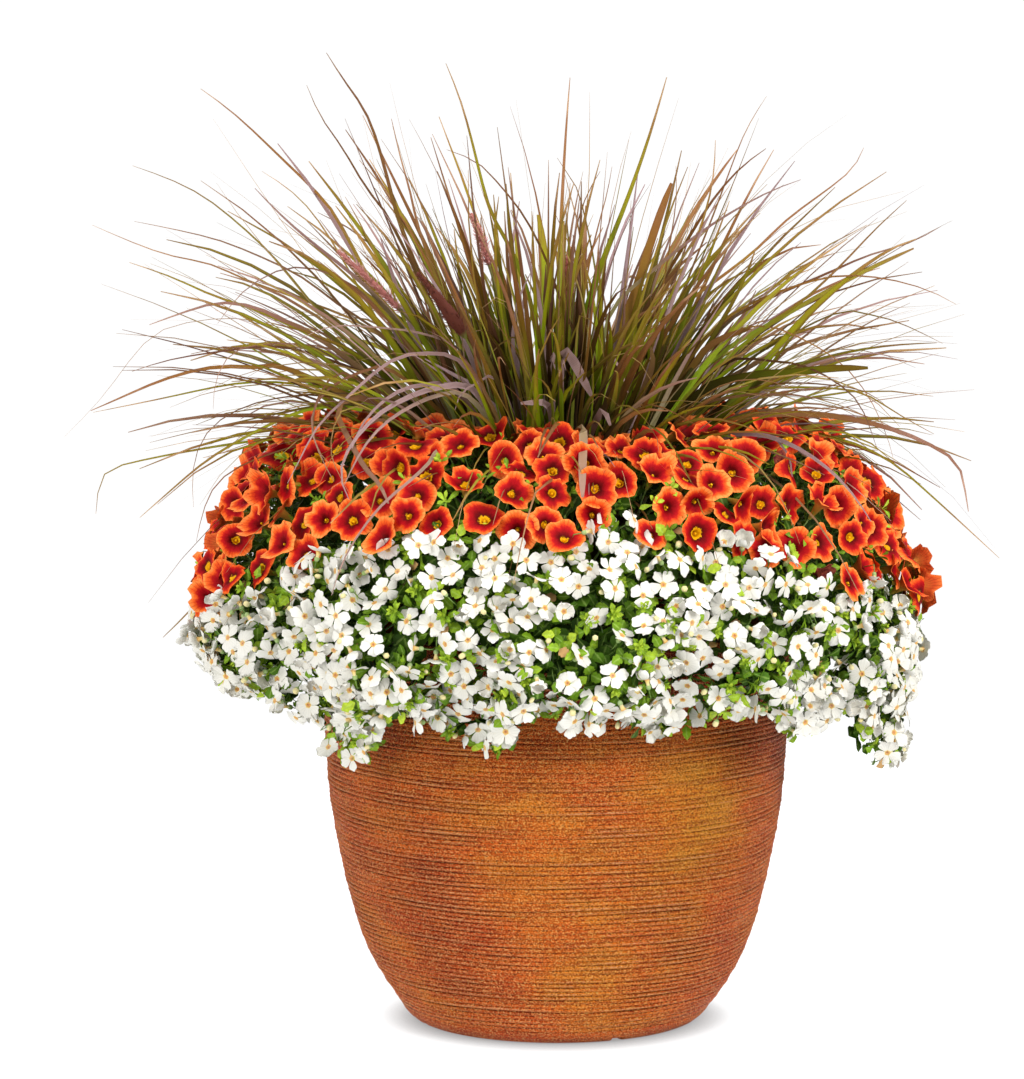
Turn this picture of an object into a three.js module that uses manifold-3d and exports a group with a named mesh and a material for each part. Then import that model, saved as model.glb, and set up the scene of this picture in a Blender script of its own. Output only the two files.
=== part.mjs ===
// Mixed planter: fountain grass in the middle, a ring of calibrachoa round it and a trailing skirt of
// bacopa outside, all rooted in one deep round pot with a combed outside. Millimetres, +Z up, -Y front.

import * as THREE from "three";
import { mergeVertices } from "three/addons/utils/BufferGeometryUtils.js";
import Module from "manifold-3d";

const wasm = await Module();
wasm.setup();

// ---- driving dimensions -----------------------------------------------------------------------------

const GAP = 0.4;                       // clear space between pieces that rest on each other
const FULL_TURN = 360;

const POT_HEIGHT = 345;
const POT_WALL = 10;
const POT_FLOOR = 14;                  // top of the floor above the ground
const POT_SIDES = 36;
const POT_OUTSIDE = [                  // [radius, height] from the heel to the rim
  [129, 6], [139, 20], [155, 45], [170, 80], [190.5, 165], [199, 250], [200, POT_HEIGHT],
];
const HEEL = [[116, 0], [124, 2]];      // the edge of the flat base, eased into the side
const DRAIN_HOLE_RADIUS = 7;
const DRAIN_HOLE_CIRCLE = 62;
const DRAIN_COUNT = 4;
const DRAIN_CHANNEL = { width: 12, depth: 4, azimuth: 295 };

const SOIL_TOP = 322;
const SOIL_CROWN = 3;                  // the mix stands a little higher in the middle

const GRASS_ROOTS = { top: 58, bottom: 46, height: 130 };
const CALIBRACHOA_ROOTS = { top: 44, bottom: 34, height: 90, distance: 118, azimuths: [330, 90, 210] };
const BACOPA_ROOTS = { top: 38, bottom: 30, height: 85, distance: 140, azimuths: [270, 30, 150] };

// Outside of the flowers, from the edge round the grass to the lip that hangs outside the pot.
const MOUND = new THREE.SplineCurve([
  [112, 504], [150, 518], [205, 514], [250, 492], [282, 449],
  [304, 402], [315, 352], [302, 314], [274, 297],
].map(([radius, height]) => new THREE.Vector2(radius, height)));
const SKIRT_CLEARANCE = 16;            // between the pot's side and the leaves that hang past it
const FLOWER_DEPTH = 16;               // thickness of the layer of open flowers
const LEAF_DEPTH = 24;                 // thickness of the leaves under it
const TRAILS = [                       // where bacopa hangs lower: direction, spread, drop and radius
  { azimuth: 225, spread: 11, drop: 46, radius: 236 },
  { azimuth: 256, spread: 5, drop: 28, radius: 236 },
  { azimuth: 318, spread: 9, drop: 24, radius: 282 },
  { azimuth: 349, spread: 13, drop: 62, radius: 300 },
  { azimuth: 40, spread: 9, drop: 44, radius: 262 },
  { azimuth: 84, spread: 7, drop: 30, radius: 250 },
  { azimuth: 128, spread: 9, drop: 48, radius: 268 },
  { azimuth: 172, spread: 7, drop: 12, radius: 268 },
];
const SECTOR = 120;                    // each plant fills a third of the ring
const SECTOR_SPLIT = 0.3;              // drawn back from each edge of the third

const CROWN = [                        // packed bases of the grass, [radius, height] upwards
  [52, SOIL_TOP + 6], [58, 380], [82, 460], [98, 500], [106, 530], [122, 560], [110, 602], [60, 642],
];

const CROWN_SIDES = 20;
const BLADE_ROOT = [30, 345];
const BLADE_RISE = [52, 545];          // every blade first climbs towards this radius and height
const BLADE_WIDTH = 9;
const BLADE_THICKNESS = 2.6;
// Long outer blades: direction, then radius and height that the bend leans to, and of the tip.
const BLADES = [
  [210, 203, 651, 288, 724], [201, 142, 687, 224, 807], [193, 191, 683, 355, 604],
  [185, 217, 630, 397, 532], [177, 215, 596, 372, 652], [169, 172, 701, 317, 803],
  [161, 244, 635, 438, 681], [152, 142, 684, 226, 826], [144, 270, 690, 399, 305],
  [237, 61, 656, 144, 793], [293, 99, 686, 233, 820], [45, 165, 662, 268, 795],
  [26, 187, 655, 301, 751], [335, 227, 602, 322, 716], [13, 219, 640, 348, 685],
  [350, 164, 714, 344, 620], [5, 196, 592, 355, 580], [343, 187, 606, 352, 500],
  [357, 212, 662, 385, 405], [322, 274, 720, 349, 366], [60, 190, 660, 330, 742],
  [75, 200, 690, 372, 600], [90, 130, 670, 250, 808], [103, 220, 640, 385, 650],
  [117, 170, 680, 300, 770], [131, 210, 670, 380, 560], [255, 110, 650, 196, 742],
  [275, 130, 650, 232, 664],
];
const LEAN_STEP = 2.4;                 // each blade leans sideways by its own amount
const LEAN_MOST = 12;

// Seed heads of the grass: direction, bend and tip as above.
const SEED_HEADS = [
  [197, 120, 600, 196, 668], [222, 90, 590, 148, 652], [230, 56, 600, 112, 700], [82.5, 80, 600, 124, 655],
];
const CULM_RADIUS = 1.4;
const HEAD_RADIUS = 7;
const HEAD_START = 0.68;               // fraction of the culm below the head

const COLOURS = {
  pot: 0xb5651f, soil: 0x3a2b20, crown: 0x6f7a2a, blade: 0x7a4f35, seedHead: 0xa65560,
  stem: 0x5d7a35, leaf: 0x4f7d35, calibrachoa: 0xe0521f, bacopa: 0xf4f2ec, bacopaLeaf: 0x66a336,
};

// ---- geometry helpers -------------------------------------------------------------------------------

function radians(degrees) {
  return degrees * Math.PI / 180;
}

function bare(geometry) {
  geometry.deleteAttribute("normal");
  geometry.deleteAttribute("uv");
  return mergeVertices(geometry, 1e-4);
}

function toSolid(geometry) {
  const closed = bare(geometry.clone());
  return new wasm.Manifold(new wasm.Mesh({
    numProp: 3,
    vertProperties: new Float32Array(closed.attributes.position.array),
    triVerts: new Uint32Array(closed.index.array),
  }));
}

function toGeometry(solid) {
  const mesh = solid.getMesh();
  const geometry = new THREE.BufferGeometry();
  geometry.setAttribute("position", new THREE.BufferAttribute(new Float32Array(mesh.vertProperties), 3));
  geometry.setIndex(new THREE.BufferAttribute(new Uint32Array(mesh.triVerts), 1));
  return geometry;
}

// A turned piece round the Z axis; the outline is [radius, height] pairs that close on the axis.
function turned(outline, sides) {
  const points = outline.map(([radius, height]) => new THREE.Vector2(radius, height));
  const geometry = new THREE.LatheGeometry(points, sides);
  geometry.rotateX(Math.PI / 2);
  return bare(geometry);
}

function upright(radiusTop, radiusBottom, height, sides) {
  const geometry = new THREE.CylinderGeometry(radiusTop, radiusBottom, height, sides);
  geometry.rotateX(Math.PI / 2);
  return geometry;
}

// A bar along a curve: the section is an oval whose half sizes change from 0 at the root to 1 at the tip.
function bar(curve, side, halfWidthAt, halfDepthAt, sides, steps) {
  const geometry = bare(new THREE.CylinderGeometry(1, 1, 1, sides, steps));
  const position = geometry.attributes.position;
  for (let i = 0; i < position.count; i += 1) {
    const along = position.getY(i) + 0.5;
    const tangent = curve.getTangent(along);
    const normal = side.clone().cross(tangent).normalize();
    const across = tangent.clone().cross(normal).normalize();
    const point = curve.getPoint(along);
    point.addScaledVector(across, position.getX(i) * halfWidthAt(along));
    point.addScaledVector(normal, position.getZ(i) * halfDepthAt(along));
    position.setXYZ(i, point.x, point.y, point.z);
  }
  return geometry;
}

function placed(geometry, distance, azimuth) {
  geometry.translate(distance, 0, 0);
  geometry.rotateZ(radians(azimuth));
  return geometry;
}

function mix(from, to, share) {
  return from + (to - from) * share;
}

function smooth(from, to, value) {
  return THREE.MathUtils.smoothstep(value, from, to);
}

// ---- the pot ----------------------------------------------------------------------------------------

function potOutside() {
  const curve = new THREE.SplineCurve(POT_OUTSIDE.map(([radius, height]) => new THREE.Vector2(radius, height)));
  const points = curve.getPoints(10).map((point) => [point.x, point.y]);
  return [...HEEL, ...points];
}

function potRadiusAt(height) {
  const points = potOutside();
  for (let i = 1; i < points.length; i += 1) {
    if (height <= points[i][1]) {
      const share = (height - points[i - 1][1]) / (points[i][1] - points[i - 1][1]);
      return mix(points[i - 1][0], points[i][0], share);
    }
  }
  return points[points.length - 1][0];
}

// The hollow's wall from the floor's edge up to the given height, drawn in by the allowance.
function potInside(top, allowance) {
  const heights = [26, 45, 80, 130, 200, 290].filter((height) => height < top);
  const wall = [...heights, top].map((height) => [potRadiusAt(height) - POT_WALL - allowance, height]);
  return [[potRadiusAt(POT_FLOOR) - POT_WALL - 8 - allowance, POT_FLOOR], ...wall];
}

function planter() {
  const outline = [
    [0, 0],
    ...potOutside(),
    ...potInside(POT_HEIGHT, 0).reverse(),
    [0, POT_FLOOR],
  ];
  let shell = toSolid(turned(outline, POT_SIDES));
  const channelLength = 2 * (HEEL[1][0] - DRAIN_HOLE_CIRCLE);
  for (let k = 0; k < DRAIN_COUNT; k += 1) {
    const direction = DRAIN_CHANNEL.azimuth + k * FULL_TURN / DRAIN_COUNT;
    const hole = upright(DRAIN_HOLE_RADIUS, DRAIN_HOLE_RADIUS, 3 * POT_FLOOR, 12);
    const channel = new THREE.BoxGeometry(channelLength, DRAIN_CHANNEL.width, 2 * DRAIN_CHANNEL.depth);
    channel.translate(channelLength / 2, 0, 0);
    shell = shell.subtract(toSolid(placed(hole, DRAIN_HOLE_CIRCLE, direction)));
    shell = shell.subtract(toSolid(placed(channel, DRAIN_HOLE_CIRCLE, direction)));
  }
  return toGeometry(shell);
}

// ---- roots and potting mix --------------------------------------------------------------------------

function rootBall(roots, allowance) {
  const geometry = upright(roots.top + allowance, roots.bottom + allowance, roots.height + 2 * allowance, 14);
  geometry.translate(0, 0, SOIL_TOP - roots.height / 2);
  return geometry;
}

function pottingMix() {
  const side = potInside(SOIL_TOP - 2 * SOIL_CROWN, 1);
  side[0][1] += GAP;
  const outline = [
    [0, POT_FLOOR + GAP],
    ...side,
    [0, SOIL_TOP - SOIL_CROWN],
  ];
  let bed = toSolid(turned(outline, POT_SIDES));
  bed = bed.subtract(toSolid(rootBall(GRASS_ROOTS, GAP)));
  for (const roots of [CALIBRACHOA_ROOTS, BACOPA_ROOTS]) {
    for (const azimuth of roots.azimuths) {
      bed = bed.subtract(toSolid(placed(rootBall(roots, GAP), roots.distance, azimuth)));
    }
  }
  return toGeometry(bed);
}

// ---- the ring of flowers ----------------------------------------------------------------------------

function angleBetween(a, b) {
  const turn = ((a - b) % FULL_TURN + FULL_TURN) % FULL_TURN;
  return Math.min(turn, FULL_TURN - turn);
}

// Radius and height on the flowers' outside; share runs from 0 beside the grass to 1 at the hanging lip.
function moundPoint(share, azimuth) {
  const point = MOUND.getPointAt(share);
  const hang = smooth(0.72, 1, share);
  for (const trail of TRAILS) {
    const near = Math.exp(-((angleBetween(azimuth, trail.azimuth) / trail.spread) ** 2));
    point.y -= trail.drop * near * hang;
    point.x = mix(point.x, trail.radius, near * hang);
  }
  return point;
}

// The underside of the leaves below that point, square to the surface and clear of the pot's side.
function moundUnder(share, azimuth) {
  const step = 0.01;
  const before = moundPoint(Math.max(0, share - step), azimuth);
  const after = moundPoint(Math.min(1, share + step), azimuth);
  const along = after.clone().sub(before).normalize();
  const depth = FLOWER_DEPTH + LEAF_DEPTH;
  const point = moundPoint(share, azimuth);
  const under = new THREE.Vector2(point.x + along.y * depth, point.y - along.x * depth);
  if (under.y < POT_HEIGHT + 10) {
    under.x = Math.max(under.x, potRadiusAt(POT_HEIGHT) + SKIRT_CLEARANCE);
  }
  return under;
}

function moundInside(share, azimuth, depth) {
  const under = moundUnder(share, azimuth);
  return moundPoint(share, azimuth).lerp(under, depth / (FLOWER_DEPTH + LEAF_DEPTH));
}

// Calibrachoa grows above this share and bacopa below it; calibrachoa reaches lower at the two sides.
function borderShare(azimuth) {
  return 0.51 + 0.21 * Math.abs(Math.cos(radians(azimuth))) ** 2.2;
}

// A layer of the ring: a block bent round the pot, between two shares and two depths. Two layers that
// lie on each other are mirrored, so that their facing surfaces fold along the same lines.
function sectorLayer(middle, shareFrom, shareTo, depthOuter, depthInner, mirrored) {
  const geometry = bare(new THREE.BoxGeometry(1, 1, 1, 10, 5, 1));
  const position = geometry.attributes.position;
  const width = (SECTOR - 2 * SECTOR_SPLIT) * (mirrored ? -1 : 1);
  for (let i = 0; i < position.count; i += 1) {
    const azimuth = middle + width * position.getX(i);
    const share = mix(shareTo(azimuth), shareFrom(azimuth), position.getY(i) + 0.5);
    const depth = mix(depthInner, depthOuter, position.getZ(i) + 0.5);
    const point = moundInside(share, azimuth, depth);
    position.setXYZ(i, point.x * Math.cos(radians(azimuth)), point.x * Math.sin(radians(azimuth)), point.y);
  }
  if (mirrored) {
    geometry.index.array.reverse();
  }
  return geometry;
}

const BORDER_SPLIT = 0.004;
const STEM_CLEARANCE = 13;             // between a stem's end and the leaves that it carries
const STEM_HALF_SIZE = 3.4;
const calibrachoaFrom = () => 0;
const calibrachoaTo = (azimuth) => borderShare(azimuth) - BORDER_SPLIT;
const bacopaFrom = (azimuth) => borderShare(azimuth) + BORDER_SPLIT;
const bacopaTo = () => 1;

// Root ball, crown and the stems that spread from it to the underside of the plant's leaves.
function stems(roots, azimuth, shareFrom, shareTo, rise, furthest) {
  let plant = toSolid(placed(rootBall(roots, 0), roots.distance, azimuth));
  const start = new THREE.Vector3(roots.distance, 0, SOIL_TOP - 4);
  start.applyAxisAngle(new THREE.Vector3(0, 0, 1), radians(azimuth));
  const reaches = [[-46, 0.9], [-28, 0.4], [-9, 1], [9, 0.45], [28, 0.95], [46, 0.5]];
  for (const [turn, reach] of reaches) {
    const direction = azimuth + turn;
    const share = mix(shareFrom(direction), shareTo(direction), reach * furthest);
    const target = moundUnder(share, direction);
    target.add(new THREE.Vector2(-STEM_CLEARANCE, -STEM_CLEARANCE));
    const across = radians(direction);
    const end = new THREE.Vector3(target.x * Math.cos(across), target.x * Math.sin(across), target.y);
    const bend = start.clone().lerp(end, 0.4);
    bend.z = Math.max(end.z, POT_HEIGHT) + rise;
    const curve = new THREE.QuadraticBezierCurve3(start, bend, end);
    const side = new THREE.Vector3(-Math.sin(across), Math.cos(across), 0);
    const halfSize = (along) => mix(STEM_HALF_SIZE, STEM_HALF_SIZE / 2, along);
    plant = plant.add(toSolid(bar(curve, side, halfSize, halfSize, 4, 4)));
  }
  return toGeometry(plant);
}

// ---- the grass --------------------------------------------------------------------------------------

function crownOutline(allowance) {
  const top = CROWN[CROWN.length - 1];
  return [
    [0, CROWN[0][1] - allowance],
    ...CROWN.map(([radius, height]) => [radius + allowance, height]),
    [0, top[1] + 12 + allowance],
  ];
}

function grassCrown() {
  const tuft = toSolid(turned(crownOutline(0), CROWN_SIDES));
  const neck = upright(CROWN[0][0] - 4, CROWN[0][0] - 4, 30, 14);
  neck.translate(0, 0, SOIL_TOP + 4);
  return toGeometry(tuft.add(toSolid(neck)).add(toSolid(rootBall(GRASS_ROOTS, 0))));
}

// A leaf or culm lies in the XZ plane, leans a little sideways, and starts at the crown's outside.
function arching([, bendRadius, bendHeight, tipRadius, tipHeight], lean, halfWidthAt, halfDepthAt, sides, steps) {
  const curve = new THREE.CubicBezierCurve3(
    new THREE.Vector3(BLADE_ROOT[0], 0, BLADE_ROOT[1]),
    new THREE.Vector3(BLADE_RISE[0], 0, BLADE_RISE[1]),
    new THREE.Vector3(bendRadius, 0, bendHeight),
    new THREE.Vector3(tipRadius, lean, tipHeight),
  );
  const whole = toSolid(bar(curve, new THREE.Vector3(0, 1, 0), halfWidthAt, halfDepthAt, sides, steps));
  const flatness = Math.cos(Math.PI / CROWN_SIDES);
  const cutter = crownOutline(GAP).map(([radius, height]) => [radius / flatness, height]);
  return toGeometry(whole.subtract(toSolid(turned(cutter, CROWN_SIDES))));
}

function blade(row, index) {
  const width = (along) => BLADE_WIDTH / 2 * (1 - 0.8 * along ** 2);
  const depth = (along) => BLADE_THICKNESS / 2 * (1 - 0.5 * along);
  return arching(row, LEAN_MOST * Math.sin(LEAN_STEP * index), width, depth, 4, 7);
}

function seedHead(row, index) {
  const size = (along) => {
    const head = THREE.MathUtils.clamp((along - HEAD_START) / (1 - HEAD_START), 0, 1);
    return CULM_RADIUS + (HEAD_RADIUS - CULM_RADIUS) * Math.sin(Math.PI * head ** 0.7);
  };
  return arching(row, LEAN_MOST * Math.cos(LEAN_STEP * index), size, size, 6, 10);
}

// ---- putting it together ----------------------------------------------------------------------------

const object = new THREE.Group();

function material(colour, roughness) {
  return new THREE.MeshStandardMaterial({ color: colour, roughness, metalness: 0 });
}

function addPiece(parent, name, geometry, finish, azimuth = 0) {
  const mesh = new THREE.Mesh(geometry, finish);
  mesh.name = name;
  mesh.rotation.z = radians(azimuth);
  parent.add(mesh);
}

function twoDigits(number) {
  return String(number).padStart(2, "0");
}

const bed = new THREE.Group();
object.add(bed);
addPiece(bed, "planter", planter(), material(COLOURS.pot, 0.75));
addPiece(bed, "potting_mix", pottingMix(), material(COLOURS.soil, 0.95));

const grass = new THREE.Group();
object.add(grass);
addPiece(grass, "grass_crown", grassCrown(), material(COLOURS.crown, 0.6));
BLADES.forEach((row, index) => {
  addPiece(grass, `grass_blade_${twoDigits(index + 1)}`, blade(row, index), material(COLOURS.blade, 0.5), row[0]);
});
SEED_HEADS.forEach((row, index) => {
  addPiece(grass, `grass_seed_head_${index + 1}`, seedHead(row, index), material(COLOURS.seedHead, 0.8), row[0]);
});

const skirtKinds = [
  { name: "calibrachoa", roots: CALIBRACHOA_ROOTS, from: calibrachoaFrom, to: calibrachoaTo, rise: 10, furthest: 0.8,
    flower: COLOURS.calibrachoa, leaf: COLOURS.leaf },
  { name: "bacopa", roots: BACOPA_ROOTS, from: bacopaFrom, to: bacopaTo, rise: 80, furthest: 0.5,
    flower: COLOURS.bacopa, leaf: COLOURS.bacopaLeaf },
];
for (const kind of skirtKinds) {
  kind.roots.azimuths.forEach((azimuth, index) => {
    const plant = new THREE.Group();
    object.add(plant);
    const name = `${kind.name}_${index + 1}`;
    addPiece(plant, `${name}_stems`, stems(kind.roots, azimuth, kind.from, kind.to, kind.rise, kind.furthest),
      material(COLOURS.stem, 0.7));
    addPiece(plant, `${name}_leaves`, sectorLayer(azimuth, kind.from, kind.to, FLOWER_DEPTH + GAP,
      FLOWER_DEPTH + LEAF_DEPTH, true), material(kind.leaf, 0.6));
    addPiece(plant, `${name}_flowers`, sectorLayer(azimuth, kind.from, kind.to, 0, FLOWER_DEPTH, false),
      material(kind.flower, 0.6));
  });
}

export default object;
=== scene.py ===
import math

import bpy
import numpy as np
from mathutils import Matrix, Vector


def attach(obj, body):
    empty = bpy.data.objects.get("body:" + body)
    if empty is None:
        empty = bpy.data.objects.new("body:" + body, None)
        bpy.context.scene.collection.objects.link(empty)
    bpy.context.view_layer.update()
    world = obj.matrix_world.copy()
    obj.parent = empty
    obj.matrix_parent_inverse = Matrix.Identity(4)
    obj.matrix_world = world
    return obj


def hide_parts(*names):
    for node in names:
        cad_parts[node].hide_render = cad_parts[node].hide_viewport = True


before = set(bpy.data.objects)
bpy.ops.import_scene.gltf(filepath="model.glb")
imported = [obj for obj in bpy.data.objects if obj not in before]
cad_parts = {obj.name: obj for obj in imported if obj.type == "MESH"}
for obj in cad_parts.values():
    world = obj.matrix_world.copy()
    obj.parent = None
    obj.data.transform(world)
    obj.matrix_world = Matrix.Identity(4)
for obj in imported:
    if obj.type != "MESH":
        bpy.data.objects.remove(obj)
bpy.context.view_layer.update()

# ---- camera, floor and light --------------------------------------------------------------------------
# The planter stands on a plain white floor. A long lens looks slightly down on it from four metres away,
# and large soft boxes stand above it and to both sides.

CAMERA_DISTANCE = 4.0
CAMERA_HEIGHT = 0.87
LOOKS_DOWN = 6.482
LOOKS_LEFT = 0.547
LENS = 155.9
FLOOR_RADIUS = 1.6
FLOOR_SIDES = 96
FLOOR_GLOW = 0.985
FLOOR_SHADOW = 0.34
FLOOR_SHADE = 0.036                    # how far the painted contact shadow spreads
SKY_LIGHT = 0.54
BACKDROP = 1.02
AIMED_AT = (0, 0, 0.4)                 # where the soft boxes point
# Name, place, width and power of each soft box.
SOFT_BOXES = [
    ("overhead", (0.3, -0.4, 3.0), 2.2, 54),
    ("key", (2.4, -2.5, 1.9), 1.3, 110),
    ("fill", (-2.6, -2.5, 1.0), 1.8, 74),
    ("back", (-0.6, 2.8, 2.2), 1.8, 30),
]

camera = bpy.data.objects.new("camera", bpy.data.cameras.new("camera"))
camera.data.sensor_width = 36
camera.data.lens = LENS
camera.location = (0, -CAMERA_DISTANCE, CAMERA_HEIGHT)
camera.rotation_euler = (math.radians(90 - LOOKS_DOWN), 0, math.radians(LOOKS_LEFT))
bpy.context.scene.collection.objects.link(camera)
bpy.context.scene.camera = camera
bpy.context.scene.view_settings.view_transform = "Standard"

for name, place, width, power in SOFT_BOXES:
    box = bpy.data.objects.new(name, bpy.data.lights.new(name, "AREA"))
    box.data.size = width
    box.data.energy = power
    box.location = place
    box.rotation_euler = (Vector(place) - Vector(AIMED_AT)).to_track_quat("Z", "Y").to_euler()
    bpy.context.scene.collection.objects.link(box)


def paint(code):
    """A colour as Blender takes it, from its six-digit name."""
    parts = [int(code[i:i + 2], 16) / 255 for i in (1, 3, 5)]
    return [p / 12.92 if p <= 0.04045 else ((p + 0.055) / 1.055) ** 2.4 for p in parts] + [1.0]


class Finish:
    """A finish being put together: short ways to add its nodes and to join them."""

    def __init__(self, tree):
        self.tree = tree

    def feed(self, socket, value):
        if isinstance(value, bpy.types.NodeSocket):
            self.tree.links.new(value, socket)
        elif value is not None:
            socket.default_value = value

    def add(self, kind, inputs=(), **settings):
        node = self.tree.nodes.new("ShaderNode" + kind)
        for key, value in settings.items():
            setattr(node, key, value)
        for socket, value in dict(inputs).items():
            self.feed(node.inputs[socket], value)
        return node

    def mark(self, name):
        return self.add("Attribute", attribute_name=name).outputs["Fac"]

    def maths(self, operation, first, second=None):
        return self.add("Math", {0: first, 1: second}, operation=operation).outputs[0]

    def plus(self, first, second):
        return self.maths("ADD", first, second)

    def times(self, first, second):
        return self.maths("MULTIPLY", first, second)

    def swayed(self, value, noise, amount):
        """The value moved up and down by a noise from 0 to 1."""
        return self.plus(value, self.times(self.maths("SUBTRACT", noise, 0.5), amount))

    def between(self, value, low, high, to_low=0.0, to_high=1.0):
        """The value moved from one range to another, eased and held at its ends."""
        inputs = {0: value, 1: low, 2: high, 3: to_low, 4: to_high}
        return self.add("MapRange", inputs, interpolation_type="SMOOTHSTEP").outputs[0]

    def ramp(self, factor, *stops):
        """Colours along a factor, from pairs of a place and a colour's name."""
        node = self.add("ValToRGB", {0: factor})
        bar = node.color_ramp.elements
        while len(bar) < len(stops):
            bar.new(0.5)
        for element, (place, colour) in zip(bar, stops):
            element.position = place
            element.color = paint(colour)
        return node.outputs[0]

    def blend(self, factor, first, second, mode="MIX"):
        first, second = (paint(c) if isinstance(c, str) else c for c in (first, second))
        inputs = {0: factor, 6: first, 7: second}
        return self.add("Mix", inputs, data_type="RGBA", blend_type=mode).outputs[2]

    def noise(self, size, detail=2.0, stretch=(1, 1, 1)):
        """Soft random patches of about a size in metres, from 0 to 1."""
        place = self.add("TexCoord").outputs["Object"]
        place = self.add("Mapping", {"Vector": place, "Scale": stretch}).outputs[0]
        return self.add("TexNoise", {"Vector": place, "Scale": 1 / size, "Detail": detail}).outputs[0]

    def raised(self, shader, height, strength, distance):
        """Bumps on the shader's surface, up to a distance in metres."""
        bump = self.add("Bump", {"Height": height, "Strength": strength, "Distance": distance})
        self.feed(shader.inputs["Normal"], bump.outputs[0])

    def effect(self, group, **inputs):
        node = self.add("Group", node_tree=group)
        for socket, value in inputs.items():
            self.feed(node.inputs[socket], value)
        return node.outputs


def new_material(name, roughness):
    """A material, its finish and its shader."""
    material = bpy.data.materials.new(name)
    material.use_nodes = True
    shader = material.node_tree.nodes["Principled BSDF"]
    shader.inputs["Roughness"].default_value = roughness
    return material, Finish(material.node_tree), shader


floor_net = bpy.data.meshes.new("floor")
floor_edge = np.linspace(0, 2 * np.pi, FLOOR_SIDES + 1)[:-1]
floor_net.from_pydata([(FLOOR_RADIUS * math.cos(a), FLOOR_RADIUS * math.sin(a), 0) for a in floor_edge],
                      [], [list(range(FLOOR_SIDES))])
floor = bpy.data.objects.new("floor", floor_net)
bpy.context.scene.collection.objects.link(floor)
floor_material, floor_finish, floor_shader = new_material("white_floor", 0.9)
floor_shader.inputs["Base Color"].default_value = (0.14, 0.155, 0.16, 1)
floor_shader.inputs["Emission Color"].default_value = (1, 1, 1, 1)
# The floor glows white of its own, and ambient occlusion dims the glow near the pot: a painted contact
# shadow.
open_sky = floor_finish.add("AmbientOcclusion", {"Distance": FLOOR_SHADE}, samples=8).outputs["AO"]
floor_finish.feed(floor_shader.inputs["Emission Strength"],
                  floor_finish.between(open_sky, 0.1, 0.8, FLOOR_SHADOW, FLOOR_GLOW))
floor_net.materials.append(floor_material)

world = bpy.data.worlds.new("studio")
world.use_nodes = True
studio = Finish(world.node_tree)
backdrop = world.node_tree.nodes["Background"].inputs
backdrop["Color"].default_value = (1, 1, 1, 1)
camera_ray = studio.add("LightPath").outputs["Is Camera Ray"]
studio.feed(backdrop["Strength"], studio.between(camera_ray, 0.0, 1.0, SKY_LIGHT, BACKDROP))
bpy.context.scene.world = world

# ---- the pot ------------------------------------------------------------------------------------------
# A deep round pot of coarse stoneware, thrown and then combed while wet, so that fine uneven ridges run
# round it. It is stained rust and gold, rubbed off the ridges, and stands on a plain base with four drains.

MM = 0.001
POT_HEIGHT = 345 * MM
POT_FLOOR = 14 * MM
SHOULDER = 12 * MM                     # the side starts here, on the base
POT_OUTSIDE = [(129, 6), (139, 20), (155, 45), (170, 80), (190.5, 165), (199, 250), (200, 345)]
RIDGE_PITCH = 4.0 * MM
RIDGE_DEPTH = 1.2 * MM
RIDGE_SECTION = [-1.0, 0.35, 1.0, 0.5]          # from one groove to the next
POT_COLUMNS = 84
LIP_ZONE = 8 * MM                      # the combing stops this far under the rim
# Patches in the stain: direction, height, half width in degrees, half height in millimetres, and how much
# more golden (or less) than the rest. Some are painted light and shade: the golden patches down the right
# side are a painted highlight, and the dark band under the flowers and the dark patch at the top right are
# painted shade.
STAIN_AND_LIGHT_PATCHES = [
    (308, 200, 17, 75, 0.5), (290, 120, 22, 60, 0.12), (271, 52, 18, 30, 0.2), (250, 225, 22, 40, 0.1),
    (238, 120, 20, 70, -0.06), (286, 318, 55, 26, -0.5), (219, 205, 12, 42, 0.2), (337, 260, 11, 55, -0.3),
]
DRAIN_RADIUS = 7 * MM
DRAIN_CIRCLE = 62 * MM
DRAIN_DIRECTIONS = [295, 25, 115, 205]
CHANNEL_WIDTH = 12 * MM
CHANNEL_DEPTH = 4 * MM
CHANNEL_END = 0.16                     # past the edge of the base


def rounded_line(points, steps):
    """A smooth line through points in millimetres, as close points in metres."""
    points = np.array(points, float) * MM
    spread = np.concatenate([points[:1], points, points[-1:]])
    share = np.linspace(0, 1, steps + 1)[:-1, None]
    pieces = []
    for a, b, c, d in zip(spread, spread[1:], spread[2:], spread[3:]):
        leave, arrive = (c - a) / 2, (d - b) / 2
        cubic = (2 * b - 2 * c + leave + arrive) * share ** 3
        pieces.append(cubic + (3 * c - 3 * b - 2 * leave - arrive) * share ** 2 + leave * share + b)
    return np.concatenate(pieces + [points[-1:]])


def drift(azimuth, height, seed, turns, rise):
    """A smooth random field round the axis, mostly from -1 to 1. It swings up to so many times in a turn and
    up to so many times in a metre of height."""
    draw = np.random.default_rng(seed)
    total = 0
    for _ in range(12):
        swings = draw.integers(1, turns + 1)
        slope = draw.uniform(-rise, rise)
        total = total + np.sin(swings * azimuth + 2 * np.pi * slope * height + draw.uniform(0, 2 * np.pi))
    return total / 4.2


def net(rows, columns, closed):
    """Faces of a net of points and their places on its map; a closed net joins its sides."""
    width = columns if closed else columns - 1
    row, column = np.meshgrid(np.arange(rows - 1), np.arange(width), indexing="ij")
    row, column = row.ravel(), column.ravel()
    after = (column + 1) % columns
    faces = np.stack([row * columns + column, row * columns + after,
                      (row + 1) * columns + after, (row + 1) * columns + column], 1)
    spots = np.stack([np.stack([column, column + 1, column + 1, column], 1) / width,
                      np.stack([row, row, row + 1, row + 1], 1) / (rows - 1)], 2)
    return [faces], [spots]


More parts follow.
